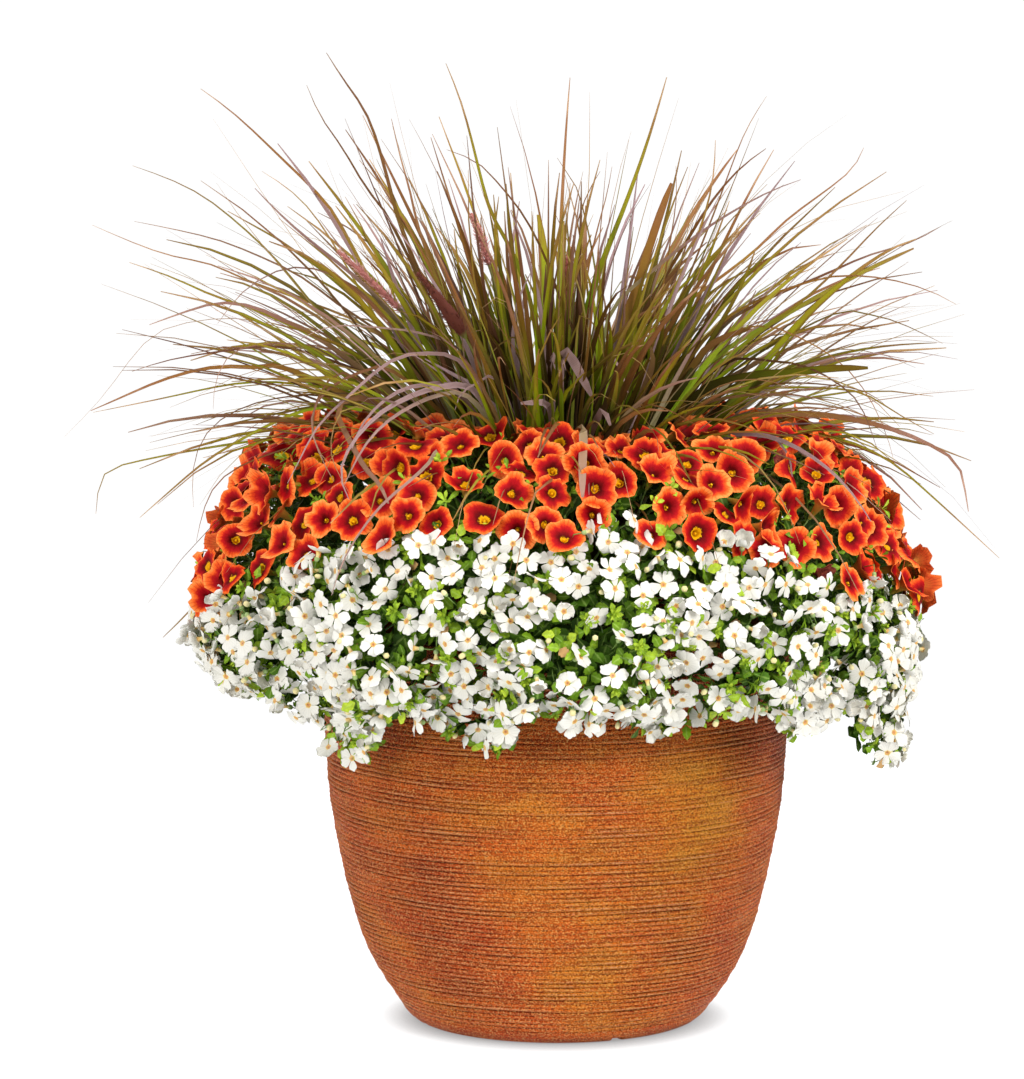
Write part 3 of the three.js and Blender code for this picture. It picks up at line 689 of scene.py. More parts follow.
    (3, 0.4, 0.1, 0, [(139, -40, 556), (190, -40, 590), (239, -40, 615), (261, -40, 613), (290, -40, 606),
                      (331, -40, 586)]),
    (2.1, 0.75, 0.1, 0, [(122, -40, 582), (172, -50, 604), (205, -60, 594), (237, -70, 576), (260, -80, 550),
                         (276, -90, 518), (284, -100, 489)]),
    (2.6, 0.7, 0.1, 0, [(139, -40, 539), (189, -50, 555), (240, -60, 553), (264, -70, 548), (282, -80, 534)]),
    (3.4, 0.45, 0.1, 0, [(122, -40, 539), (181, -42, 550), (231, -44, 550), (261, -46, 546), (290, -48, 528),
                         (323, -50, 510)]),
    (4.3, 0.8, 0.1, 0, [(-6, -40, 599), (-7, -30, 659), (-7, -20, 708), (-7, -10, 745)]),
    (3, 0.4, 0.1, 0, [(37, -40, 624), (21, -43, 707), (14, -47, 724), (-1, -50, 747)]),
    (3.4, 0.7, 0.1, 0, [(3, -10, 588), (16, -3, 682), (28, 3, 716), (38, 10, 733)]),
    (1.3, 0.5, 0.5, 0, [(20, -10, 622), (27, -7, 708), (28, -3, 758), (28, 0, 803)]),
]
# Groups of leaves: how many, points along each, then ranges of foot radius, rise radius, rise height, lean,
# first length, turn of the second half, second length, width and dryness, in millimetres and degrees.
LEAF_GROUPS = {
    "short": (230, 8, (2, 52), (4, 92), (430, 520), (0, 36), (40, 125), (-10, 30), (30, 110), (8, 13),
              (0, 0.05)),
    "upright": (104, 10, (2, 48), (6, 76), (470, 530), (2, 38), (80, 165), (-8, 32), (60, 190), (6.5, 11),
                (0, 0.08)),
    "arching": (172, 12, (15, 52), (45, 100), (455, 520), (20, 56), (90, 185), (12, 70), (70, 200),
                (5.5, 10.5), (0, 0.15)),
    "low": (186, 12, (30, 55), (82, 110), (470, 512), (44, 76), (80, 165), (10, 74), (70, 190), (4.5, 8.5),
            (0, 0.2)),
    "thread": (140, 11, (10, 50), (30, 104), (470, 530), (4, 80), (120, 210), (-20, 90), (90, 230),
               (1.0, 2.0), (0.2, 0.9)),
    "drooping": (54, 15, (20, 52), (60, 106), (480, 530), (44, 74), (110, 190), (50, 108), (110, 240), (2, 5),
                 (0.05, 0.5)),
}
REACH_DIRECTIONS = [0, 45, 90, 135, 180, 225, 270, 315, 360]
REACH_MOST = [395, 400, 388, 410, 430, 385, 318, 350, 395]
TALLEST = 812
MIDDLE_TALLEST = 724
LOPSIDED = 26                          # how much higher the clump is on its left than in the middle
BENT_STEPS = 28
LONG_BLADES = 28                       # the CAD's blades that the long leaves stand for

# Stripes: thin lines that run along a leaf or petal, spaced evenly across it.
stripes, inner, given, put_out = new_effect("stripes", ["Across", "Count", "Width"], ["Lines"])
lines = inner.times(given["Across"], given["Count"])
lines = inner.maths("ABSOLUTE", inner.maths("SUBTRACT", lines, inner.maths("ROUND", lines)))
lines = inner.maths("DIVIDE", lines, given["Width"])
inner.feed(put_out["Lines"], inner.between(lines, 1.0, 0.0))

# Shade of the clump: how near a place is to the pot's axis, from 0 to 1, and its height. Far and near are
# squares of distances in metres.
clump_shade, inner, given, put_out = new_effect("clump_shade", ["Far", "Near"], ["Shade", "Height"])
spot = inner.add("SeparateXYZ", {0: inner.add("TexCoord").outputs["Object"]}).outputs
off_axis = inner.plus(inner.maths("POWER", spot[0], 2.0), inner.maths("POWER", spot[1], 2.0))
inner.feed(put_out["Shade"], inner.between(off_axis, given["Far"], given["Near"]))
inner.feed(put_out["Height"], spot[2])

# A leaf of the grass: green, bronze or purple by its own tint and nearly black at the foot as painted shade,
# with fibres, a dark or a fresh tone of its own (the dark one partly painted shade, strongest low on the
# leaf), painted shade inside the clump, a painted pale sheen on the purple ones and a dry tip.
grass_leaf, finish, shader = new_material("fountain_grass_leaf", 0.45)
shader.inputs["Specular IOR Level"].default_value = 0.1
along, across, tint = finish.mark("along"), finish.mark("across"), finish.mark("tint")
spots = finish.effect(grain, Size=0.006)["Patches"]
shifted = finish.swayed(along, spots, 0.16)
# Each ramp runs nearly black at the foot: olive there, darkened further as painted shade at the bottom of the
# clump.
green = finish.ramp(shifted, (0.0, "#121C03"), (0.25, "#44600A"), (0.5, "#769408"), (0.7, "#94920E"),
                    (0.85, "#8E761E"), (0.95, "#966C3A"), (1.0, "#BE966A"))
bronze = finish.ramp(shifted, (0.0, "#1C1003"), (0.3, "#544008"), (0.52, "#846408"), (0.7, "#7E4A18"),
                     (0.88, "#86503A"), (1.0, "#B48A6A"))
purple = finish.ramp(shifted, (0.0, "#1A1004"), (0.3, "#503A08"), (0.5, "#74461C"), (0.7, "#764438"),
                     (0.88, "#845A54"), (1.0, "#A88072"))
colour = finish.blend(finish.between(tint, 0.36, 0.6), green, bronze)
colour = finish.blend(finish.between(tint, 0.7, 0.88), colour, purple)
edge = finish.times(finish.between(across, 0.5, 1.0), finish.between(along, 0.3, 0.7, 0.1, 0.5))
colour = finish.blend(edge, colour, "#6A2E1A")
fibre = finish.effect(stripes, Across=across, Count=4.0, Width=0.3)["Lines"]
colour = finish.blend(finish.times(fibre, 0.25), colour, "#A6A232")
own = finish.maths("FRACT", finish.plus(finish.times(tint, 7.0), 0.4))
# A dark tone on some leaves, strongest low on the leaf: partly their own tone, partly painted shade.
dark_tone_and_shade = finish.times(finish.between(own, 0.55, 0.16, 0.0, 0.85), finish.between(along, 0.95, 0.5, 0.4, 1.0))
colour = finish.blend(dark_tone_and_shade, colour, "#240E03")
fresh = finish.times(finish.between(own, 0.62, 0.9, 0.0, 0.8), finish.between(along, 0.8, 0.4))
colour = finish.blend(fresh, colour, "#86AC0A")
clump = finish.effect(clump_shade, Far=0.042, Near=0.02)
inside = finish.times(finish.between(clump["Height"], 0.67, 0.5), clump["Shade"])
shade = finish.times(inside, finish.between(own, 0.95, 0.45, 0.0, 0.88))
shade = finish.times(shade, finish.between(tint, 0.86, 0.84))
colour = finish.blend(shade, colour, "#180C03")
# A pale lavender sheen painted on the undersides of the purple leaves.
under = finish.between(finish.mark("under"), 0.0, 1.0, 0.6, 0.95)
sheen = finish.times(finish.between(tint, 0.88, 0.96), under)
colour = finish.blend(sheen, colour, finish.blend(fibre, "#B89C9E", "#785A5E"))
colour = finish.blend(finish.times(finish.mark("dry"), 0.85), colour, "#BC9468")
finish.feed(shader.inputs["Base Color"], colour)
finish.raised(shader, fibre, 0.5, 0.0004)


def smooth(low, high, value):
    """From 0 at the low value to 1 at the high one, eased."""
    share = np.clip((value - low) / (high - low), 0, 1)
    return share * share * (3 - 2 * share)


def unit(vectors):
    """The vectors, each with length one."""
    return vectors / np.linalg.norm(vectors, axis=-1, keepdims=True)


def bent(ends, steps):
    """Curves through four steering points each: ends[n, 4, 3] to paths[n, steps, 3]."""
    t = np.linspace(0, 1, steps)
    weights = np.stack([(1 - t) ** 3, 3 * t * (1 - t) ** 2, 3 * t ** 2 * (1 - t), t ** 3], 1)
    return np.einsum("sk,nkc->nsc", weights, ends)


def swept(path, sideways, section):
    """Points of cross sections carried along paths: section[n, step, corner] is (sideways, upwards)."""
    ahead = unit(np.gradient(path, axis=1))
    sideways = sideways.reshape(len(path), -1, 3)
    across = unit(sideways - (sideways * ahead).sum(-1, keepdims=True) * ahead)
    upper = np.cross(ahead, across)
    return path[:, :, None] + across[:, :, None] * section[..., :1] + upper[:, :, None] * section[..., 1:]


def round_section(radius, sides):
    """Round cross sections from radius[n, step]."""
    turn = 2 * np.pi * np.arange(sides) / sides
    return radius[..., None, None] * np.stack([np.cos(turn), np.sin(turn)], -1)


def grass_leaves(path, sideways, width, twist, tint, dry, blunt):
    """Keeled straps along paths; sideways gives the direction of their width, for a leaf or for each step."""
    t = np.linspace(0, 1, path.shape[1])
    pointed = (1 - t * 0.985) ** 0.6
    taper = np.minimum(1, 0.6 + 1.2 * t) * (pointed + blunt[:, None] * (0.85 - 0.55 * t ** 24 - pointed))
    half = width[:, None] / 2 * taper
    keel = half * (0.32 - 0.2 * t)
    thick = np.minimum(half * 0.22, 0.35 * MM)
    flat = 0 * half
    section = np.stack([np.stack([half, flat], -1), np.stack([flat, -keel + thick], -1),
                        np.stack([-half, flat], -1), np.stack([flat, -keel - thick], -1)], 2)
    roll = (twist[:, :1] + twist[:, 1:] * t)[..., None]
    c, s = np.cos(roll), np.sin(roll)
    x, y = section[..., 0], section[..., 1]
    section = np.stack([x * c - y * s, x * s + y * c], -1)
    points = swept(path, sideways, section)
    run = np.linalg.norm(np.diff(path, axis=1), axis=2).sum(1)
    ripe = np.clip((run / 0.42) ** 0.5 - 0.12 * blunt, 0.6, 1)[:, None, None]
    return Growth(points, closed_net(len(t), 4), 26.0, along=t[None, :, None] * ripe, across=[1, 0, 1, 0],
                  under=[0.5, 0, 0.5, 1], tint=tint[:, None, None], dry=dry[:, None, None])


def round_axis(azimuth):
    """Level directions that run round the pot's axis at each azimuth."""
    return np.stack([-np.sin(azimuth), np.cos(azimuth), 0 * azimuth], 1)


def known_paths(rows, wave, steps):
    """Paths out of the clump whose bend and tip are given, and their azimuths; each leans to one side."""
    rows = np.array(rows, float)
    ends = np.zeros((len(rows), 4, 3))
    ends[:, 0, [0, 2]] = LEAF_FOOT
    ends[:, 1, [0, 2]] = LEAF_RISE
    ends[:, 2, [0, 2]] = rows[:, 1:3]
    ends[:, 3, [0, 2]] = rows[:, 3:5]
    ends[:, 3, 1] = SWAY * wave(2.4 * np.arange(len(rows)))
    azimuth = np.radians(rows[:, 0])
    return turned_about(bent(ends * MM, steps), azimuth), azimuth


def known_leaves(rows, draw):
    """Long leaves whose bend and tip are given."""
    count = len(rows)
    path, azimuth = known_paths(rows, np.sin, LEAF_STEPS)
    twist = np.stack([draw.uniform(-1, 1, count), draw.uniform(-0.9, 0.9, count)], 1)
    width = draw.uniform(6, 10, count) * MM
    return grass_leaves(path, round_axis(azimuth), width, twist, draw.uniform(0.1, 1, count),
                        draw.uniform(0, 0.25, count), np.zeros(count))


def bent_leaves(rows, draw):
    """Leaves that come out of the clump and then pass the given points, flat side to the front."""
    paths = []
    for _, _, _, _, points in rows:
        azimuth = math.atan2(points[0][1], points[0][0])
        out = np.array([math.cos(azimuth), math.sin(azimuth), 0])
        first = [out * distance + (0, 0, height) for distance, height in (LEAF_FOOT, CLUMP_EDGE)]
        line = rounded_line(np.array(first + [np.array(point, float) for point in points]), 12)
        spread = np.pad(line, ((5, 5), (0, 0)), mode="edge")
        line = np.mean([spread[shift:len(line) + shift] for shift in range(11)], 0)
        run = np.concatenate([[0], np.cumsum(np.linalg.norm(np.diff(line, axis=0), axis=1))])
        even = np.linspace(0, run[-1], BENT_STEPS)
        paths.append(np.stack([np.interp(even, run, line[:, axis]) for axis in range(3)], 1))
    paths = np.array(paths)
    width, tint, dry, blunt = (np.array([row[place] for row in rows], float) for place in range(4))
    twist = draw.uniform(-0.4, 0.4, (len(rows), 2))
    sideways = np.cross(np.gradient(paths, axis=1), [0.0, 1.0, 0.0])
    return grass_leaves(paths, sideways, width * (1.25 + 0.15 * (tint > 0.84)) * MM, twist, tint, dry, blunt)


def drawn_leaves(group, draw):
    """Leaves of one group, drawn at random and kept inside the clump's outline."""
    count, steps, *ranges = LEAF_GROUPS[group]
    foot, rise, rise_height, lean, first, turn, second, width, dry = (
        draw.uniform(*pair, count) for pair in ranges)
    azimuth = draw.uniform(0, 2 * np.pi, count)
    rise = np.maximum(rise, foot)
    highest = MIDDLE_TALLEST + (TALLEST - MIDDLE_TALLEST - LOPSIDED * np.cos(azimuth)) * smooth(6, 24, lean)
    lean, turn = np.radians(lean), np.radians(turn)
    ends = np.zeros((count, 4, 3))
    ends[:, 0, 0], ends[:, 0, 2] = foot, LEAF_FOOT[1] - 15
    ends[:, 1, 0], ends[:, 1, 2] = rise, rise_height
    ends[:, 2, 0], ends[:, 2, 2] = first * np.sin(lean), first * np.cos(lean)
    ends[:, 3, 0] = ends[:, 2, 0] + second * np.sin(lean + turn)
    ends[:, 3, 2] = ends[:, 2, 2] + second * np.cos(lean + turn)
    ends[:, 2, 1] = draw.normal(0, 18, count)
    ends[:, 3, 1] = ends[:, 2, 1] * 1.6 + draw.normal(0, 34, count)
    furthest = np.interp(np.degrees(azimuth), REACH_DIRECTIONS, REACH_MOST) * draw.uniform(0.8, 1, count)
    wide = (furthest - rise) / np.maximum(ends[:, 3, 0], 1)
    highest = highest - 90 * draw.uniform(0, 1, count) ** 2
    high = (highest - rise_height) / np.maximum(ends[:, 2:, 2].max(1), 1)
    ends[:, 2:] *= np.clip(np.minimum(wide, high), 0.3, 1)[:, None, None]
    ends[:, 2:] += ends[:, 1:2]
    twist = np.stack([draw.uniform(-1.2, 1.2, count), draw.uniform(-1.3, 1.3, count)], 1)
    blunt = (draw.uniform(0, 1, count) < 0.02) * (width < 6)
    return grass_leaves(turned_about(bent(ends * MM, steps), azimuth), round_axis(azimuth), width * MM, twist,
                        draw.uniform(0, 1, count), dry, blunt)


draw = np.random.default_rng(31)
tuft = [drawn_leaves(group, draw) for group in ("short", "upright")]
outer = [known_leaves(LONG_LEAVES, draw), bent_leaves(BENT_LEAVES, draw)]
outer += [drawn_leaves(group, draw) for group in ("arching", "low", "thread", "drooping")]
make_piece("grass_tuft", tuft, grass_leaf, ["grass_crown"], crisp=25)
make_piece("grass_long_leaves", outer, grass_leaf,
           [f"grass_blade_{number + 1:02d}" for number in range(LONG_BLADES)], crisp=25)

# ---- seed heads ---------------------------------------------------------------------------------------
# Bottlebrush seed heads on wiry culms: a core of packed spikelets with soft rose and burgundy bristles that
# point forward and out.

# Direction of each culm, then distance and height of its bend and of its tip.
SEED_CULMS = [[197, 120, 600, 196, 668], [222, 90, 590, 148, 652], [230, 56, 600, 112, 700],
              [82.5, 80, 600, 124, 655]]
CULM_STEPS = 40
CULM_RADIUS = 0.9
NEARER = 24 * MM                       # the second head stands this much nearer the front
HEAD_STARTS = [0.74, 0.7, 0.84, 0.78]  # where along its culm each head begins
HEAD_SWELLS = [1.5, 4.6, 1.2, 1.4]     # how much thicker than the culm its core is
HEAD_TINTS = [0.78, 0.06, 0.72, 0.3]   # from burgundy to rose
BRISTLES = 260

seed_head, finish, shader = new_material("grass_seed_head", 0.8)
tint, along = finish.mark("tint"), finish.mark("along")
culm_colour = finish.ramp(tint, (0.0, "#7A7A36"), (1.0, "#6A5230"))
rose = finish.ramp(tint, (0.0, "#54200E"), (0.3, "#8E4630"), (0.6, "#CE8884"), (0.85, "#E2A8A0"),
                   (1.0, "#F0CABC"))
fluff = finish.effect(grain, Size=0.002)["Specks"]
head_colour = finish.blend(finish.between(fluff, 0.3, 0.8, 0.0, 0.2), rose, "#6A2A24")
colour = finish.blend(finish.between(along, 0.02, 0.1), culm_colour, head_colour)
finish.feed(shader.inputs["Base Color"], colour)

draw = np.random.default_rng(41)
culm_count = len(SEED_CULMS)
culm_path, culm_turn = known_paths(SEED_CULMS, np.cos, CULM_STEPS)
t = np.linspace(0, 1, CULM_STEPS)
culm_path[1, :, 1] -= NEARER * t
culm_side = round_axis(culm_turn)
head_start = np.array(HEAD_STARTS)[:, None]
head = np.clip((t - head_start) / (1 - head_start), 0, 1)
core = CULM_RADIUS + np.array(HEAD_SWELLS)[:, None] * np.sin(np.pi * head ** 0.6) * (head > 0)
core = core * draw.uniform(0.85, 1.15, (culm_count, CULM_STEPS)) * MM
head_tint = np.array(HEAD_TINTS)
culms = Growth(swept(culm_path, culm_side, round_section(core, 8)), closed_net(CULM_STEPS, 8), 8.0,
               along=head[:, :, None], tint=head_tint[:, None, None] * 0.6)
where = head_start + (0.995 - head_start) * draw.uniform(0, 1, (culm_count, BRISTLES))
slot_number = where * (CULM_STEPS - 1)
low = np.floor(slot_number).astype(int)
share = (slot_number - low)[..., None]
head_index = np.arange(culm_count)[:, None]
following = np.minimum(low + 1, CULM_STEPS - 1)
root = culm_path[head_index, low] * (1 - share) + culm_path[head_index, following] * share
ahead = unit(np.gradient(culm_path, axis=1))[head_index, low]
swirl = unit(draw.normal(0, 1, ahead.shape))
outward = unit(swirl - (swirl * ahead).sum(-1, keepdims=True) * ahead)
shorter = np.clip(1.25 - (where - head_start) / (1 - head_start), 0.45, 1)
length = (draw.uniform(5.5, 11, where.shape) * shorter * MM)[..., None]
lean_out = draw.uniform(0.5, 1.05, where.shape)[..., None]
tip = root + length * (np.cos(lean_out) * ahead + np.sin(lean_out) * outward)
out_of_core = outward * core[head_index, low][..., None] * 0.8
hair = np.stack([root + out_of_core, (root + out_of_core + tip) / 2 + outward * 0.0006,
                 tip + out_of_core * 0.5], 2).reshape(-1, 3, 3)
hair_width = np.array([0.38, 0.28, 0.06])[None] * MM * np.ones((len(hair), 1))
hair_side = np.repeat(culm_side, BRISTLES, 0)
hair_tint = np.clip(np.repeat(head_tint, BRISTLES) + draw.normal(0, 0.12, len(hair)), 0, 1)
bristles = Growth(swept(hair, hair_side + 0.01, round_section(hair_width, 3)), closed_net(3, 3), 1.0,
                  along=1.0, tint=hair_tint[:, None, None])
make_piece("grass_seed_heads", [culms, bristles], seed_head,
           [f"grass_seed_head_{number + 1}" for number in range(culm_count)])

# ---- the ring of flowers ------------------------------------------------------------------------------
# Calibrachoa and bacopa cover a mound round the grass and hang over the rim in trails. Everything below
# grows on that mound: its outline, its trails and the border between the two plants.

# Radius and height of the flowers' outside in millimetres, from the grass to the lip that hangs.
MOUND = [(112, 504), (150, 518), (205, 514), (250, 492), (282, 449), (304, 402), (315, 352), (302, 314),
         (274, 297)]
# Direction and spread in degrees, and drop and radius in millimetres, of each hanging trail.
TRAILS = [(225, 9, 46, 238), (255, 5.5, 28, 238), (292, 6, 16, 244), (320, 8, 22, 276), (345, 12, 60, 300),
          (40, 9, 44, 262), (84, 7, 30, 250), (128, 9, 48, 268), (172, 7, 12, 268)]
CALIBRACHOA_PLANTS = [330, 90, 210]
BACOPA_PLANTS = [270, 30, 150]
CALIBRACHOA_ROOTS = (44, 34, 90, 118)  # radius at the top and bottom, height, and distance from the axis
BACOPA_ROOTS = (38, 30, 85, 140)
SIDE_CLEAR = (12 * MM, 216 * MM)       # below this height over the rim, nothing grows nearer the axis

mound_line = rounded_line(MOUND, 40)
mound_run = np.concatenate([[0], np.cumsum(np.linalg.norm(np.diff(mound_line, axis=0), axis=1))])
mound_run = mound_run / mound_run[-1]


def apart(azimuth, direction):
    """How far an azimuth in radians is from a direction in degrees, in degrees."""
    return np.abs((np.degrees(azimuth) - direction + 180) % 360 - 180)


def on_mound(share, azimuth):
    """The place on the flowers' outside: share 0 is beside the grass and 1 the lip that hangs."""
    radius = np.interp(share, mound_run, mound_line[:, 0])
    height = np.interp(share, mound_run, mound_line[:, 1])
    for direction, spread, drop, reach in TRAILS:
        near = np.exp(-(apart(azimuth, direction) / spread) ** 4) * smooth(0.72, 1, share)
        height = height - drop * MM * near
        radius = radius + (reach * MM - radius) * near
    return np.stack([radius * np.cos(azimuth), radius * np.sin(azimuth), height], -1)


def mound_normal(share, azimuth):
    """The direction that points straight out of the mound."""
    down = on_mound(share + 0.012, azimuth) - on_mound(share - 0.012, azimuth)
    round_it = on_mound(share, azimuth + 0.03) - on_mound(share, azimuth - 0.03)
    return unit(np.cross(down, round_it))


def under_mound(share, azimuth, depth):
    """Places at a depth under the flowers' outside, kept clear of the pot's side."""
    place = on_mound(share, azimuth) - mound_normal(share, azimuth) * depth
    radius = np.hypot(place[:, 0], place[:, 1])
    over_rim, nearest = SIDE_CLEAR
    clear = np.where(place[:, 2] < POT_HEIGHT + over_rim, np.maximum(radius, nearest), radius)
    place[:, :2] *= (clear / radius)[:, None]
    return place


def border(azimuth):
    """The share at which calibrachoa gives way to bacopa."""
    return 0.51 + 0.27 * np.abs(np.cos(azimuth)) ** 3


def plant_of(azimuth, plants):
    """Which plant of the three stands nearest."""
    return np.argmin([apart(azimuth, direction) for direction in plants], 0)


def all_round(share):
    """A bound that is the same at every azimuth."""
    return lambda azimuth: share + 0 * azimuth


def strewn(draw, spacing, tries, low, high, room=None):
    """Shares and azimuths spread over the mound, no two nearer than the spacing; low and high give the band
    by azimuth, and room scales the spacing from place to place."""
    azimuth = draw.uniform(0, 2 * np.pi, tries)
    share = draw.uniform(0, 1, tries)
    place = on_mound(share, azimuth)
    radius = np.hypot(place[:, 0], place[:, 1])
    keep = (share > low(azimuth)) & (share < high(azimuth)) & (draw.uniform(0, 0.32, tries) < radius)
    azimuth, share, place = azimuth[keep], share[keep], place[keep]
    need = np.full(len(place), spacing) if room is None else spacing * room(azimuth, place[:, 2])
    taken = np.full((len(place), 3), 9.0)
    chosen = []
    for number, spot in enumerate(place):
        gap = taken[:len(chosen)] - spot
        if len(chosen) == 0 or (gap * gap).sum(1).min() > need[number] ** 2:
            taken[len(chosen)] = spot
            chosen.append(number)
    return share[chosen], azimuth[chosen]


def off_faces(places, centres, facing, radius):
    """Which places are not in front of a flower's face."""
    offset = places[:, None] - centres[None]
    ahead = (offset * facing[None]).sum(-1)
    beside = (offset * offset).sum(-1) - ahead ** 2
    return ~((beside < radius ** 2) & (ahead > -6 * MM) & (ahead < 40 * MM)).any(1)


def facing_frames(facing, spin):
    """Axes with their third along each facing direction, turned about it by the spin."""
    reference = np.where(np.abs(facing[:, 2:]) < 0.9, [[0.0, 0.0, 1.0]], [[1.0, 0.0, 0.0]])
    side = unit(np.cross(reference, facing))
    other = np.cross(facing, side)
    c, s = np.cos(spin)[:, None], np.sin(spin)[:, None]
    return np.stack([c * side + s * other, c * other - s * side, facing], 2)


def set_out(points, frames, places):
    """Points[n, ...] moved from their own axes to their places."""
    flat = points.reshape(len(points), -1, 3)
    return (np.einsum("nij,nvj->nvi", frames, flat) + places[:, None]).reshape(points.shape)


def outward_of(azimuth):
    """Level directions away from the pot's axis."""
    return np.stack([np.cos(azimuth), np.sin(azimuth), 0 * azimuth], 1)


# ---- stems and roots of the ring ----------------------------------------------------------------------
# Each plant has a fibrous root ball sunk in the mix, and thin branching stems that rise from its crown,
# clear the rim and carry the leaves from below.

STEM_STEPS = 8
BALL_COLUMNS = 24
# How high each ring of a root ball lies, and how far it is drawn in.
BALL_LEVELS = [0, 0, 0.06, 0.25, 0.5, 0.75, 0.94, 1, 1, 1]
BALL_DRAWN_IN = [0.3, 0.9, 0.99, 1, 1, 1, 0.99, 0.94, 0.6, 0.25]

stem_finish, finish, shader = new_material("green_stem", 0.6)
tint, root_mark = finish.mark("tint"), finish.mark("root")
green = finish.ramp(tint, (0.0, "#3F5A22"), (0.6, "#6C8A36"), (1.0, "#8C7A3E"))
fibres = finish.effect(grain, Size=0.0022)
brown = finish.blend(fibres["Specks"], "#3A281A", "#A98C66")
finish.feed(shader.inputs["Base Color"], finish.blend(root_mark, green, brown))
finish.raised(shader, fibres["Specks"], 0.4, 0.0008)


def root_ball(sizes, direction, draw):
    """A lumpy root ball that fills its pocket."""
    top, bottom, height, distance = sizes
    levels = np.array(BALL_LEVELS)
    radius = (bottom + (top - bottom) * levels) * np.array(BALL_DRAWN_IN) * MM
    turn = 2 * np.pi * np.arange(BALL_COLUMNS) / BALL_COLUMNS
    ring = radius[:, None] * (1 - 0.03 * draw.uniform(0, 1, (len(levels), BALL_COLUMNS)))
    level = ROOT_TOP - height * MM * (1 - levels[:, None]) - 0.4 * MM + 0 * turn
    points = np.stack([ring * np.cos(turn) + distance * MM, ring * np.sin(turn), level], -1)[None]
    points = turned_about(points, np.radians([direction]))
    return Growth(points, closed_net(len(levels), BALL_COLUMNS), 1.0, tint=0.0, root=1.0)


def spreading_stems(sizes, direction, shares, azimuths, depth, rise, thick):
    """Stems from a plant's crown to places under the leaves."""
    distance, turn = sizes[3] * MM, math.radians(direction)
    crown = np.array([distance * math.cos(turn), distance * math.sin(turn), ROOT_TOP - 0.004])
    target = on_mound(shares, azimuths) - mound_normal(shares, azimuths) * depth
    count = len(target)
    over = np.maximum(target[:, 2], POT_HEIGHT) + rise
    ends = np.zeros((count, 4, 3))
    ends[:, 0] = crown
    ends[:, 1] = crown + (target - crown) * 0.12
    ends[:, 1, 2] = crown[2] + (over - crown[2]) * 0.7
    ends[:, 2] = crown + (target - crown) * 0.7
    ends[:, 2, 2] = over
    ends[:, 3] = target
    path = bent(ends, STEM_STEPS)
    radius = np.linspace(thick, thick * 0.5, STEM_STEPS)[None] * np.ones((count, 1))
    return Growth(swept(path, round_axis(azimuths), round_section(radius, 5)), closed_net(STEM_STEPS, 5), 8.0,
                  tint=np.linspace(1, 0, STEM_STEPS)[None, :, None], root=0.0)


draw = np.random.default_rng(51)
grass_roots = root_ball(GRASS_ROOT_BALL + (0,), 0, draw)
make_piece("grass_root_ball", [grass_roots], stem_finish, ["grass_crown"])

# ---- calibrachoa flowers ------------------------------------------------------------------------------
# Small trumpets with five shallow lobes, thin and slightly ruffled: orange at the rim, deep red inside and
# yellow in the throat, on a tan tube that sits in a green calyx. Front and back are one closed skin.

LOBE_STEPS = np.array([-0.88, -0.48, 0, 0.48, 0.88])    # the columns of a lobe: 0 is its middle and 1 a notch
BLOOM_COLUMNS = 5 * len(LOBE_STEPS)
BLOOM_RADIUS = (15.2, 18.8)
BLOOM_SPACING = 22.2 * MM
LIT_SIDE = (0.03, -0.2, 0.1)           # how the blooms turn to the light
# Rows from the foot of the tube up its outside, over the rim and down into the throat: share of the limb's
# radius, added radius, height, place between throat and rim, and side (1 is the back).
BLOOM_ROWS = np.array([
    (0, 1.3, -16.5, 0.00, 1), (0, 3.7, -3.4, 0.20, 1), (0.38, 0.6, -0.9, 0.36, 1),
    (0.74, 0, -0.5, 0.74, 1), (1.0, 0, -0.1, 1.00, 0.5), (0.92, 0, 0, 0.92, 0), (0.76, 0, 0, 0.76, 0),
    (0.56, 0, 0, 0.56, 0), (0.38, 0, -0.1, 0.38, 0), (0, 3.2, -1.6, 0.20, 0), (0, 1.7, -6.0, 0.06, 0),
])
# Radius and height of the knob in the throat.
STIGMA_ROWS = np.array([(0.8, -4.2), (1.2, -2.6), (0.9, -1.5)])
STIGMA_SIDES = 5
TUBE_LENGTH = 17                       # in millimetres

bloom_finish, finish, shader = new_material("calibrachoa_petal", 0.6)
shader.inputs["Specular IOR Level"].default_value = 0.07
reach, lobe, tint = finish.mark("reach"), finish.mark("lobe"), finish.mark("tint")
blotch = finish.effect(grain, Size=0.0035)["Specks"]
vein = finish.effect(stripes, Across=lobe, Count=3.0, Width=0.16)["Lines"]
shifted = finish.swayed(reach, blotch, 0.1)
shifted = finish.maths("SUBTRACT", shifted, finish.times(vein, 0.025))
shifted = finish.maths("SUBTRACT", shifted, finish.times(finish.maths("SUBTRACT", tint, 0.45), 0.26))
face = finish.ramp(shifted, (0.0, "#A87000"), (0.09, "#DC9C00"), (0.165, "#EAAE10"), (0.205, "#4E0604"),
                   (0.3, "#600306"), (0.44, "#86040C"), (0.58, "#9E0812"), (0.67, "#B01812"),
                   (0.75, "#D03E16"), (0.86, "#EA6222"), (1.0, "#F68A42"))
face = finish.blend(finish.times(vein, finish.between(reach, 0.5, 0.8, 0.0, 0.4)), face, "#A0200E")
back = finish.ramp(reach, (0.0, "#8A9440"), (0.08, "#A9862E"), (0.22, "#B8742C"), (0.4, "#BC5A26"),
                   (0.75, "#C44A22"), (1.0, "#EE7436"))
back = finish.blend(finish.times(vein, 0.45), back, "#72200F")
colour = finish.blend(finish.between(finish.mark("back"), 0.52, 0.6), face, back)
shade = finish.effect(clump_shade, Far=0.036, Near=0.016)["Shade"]
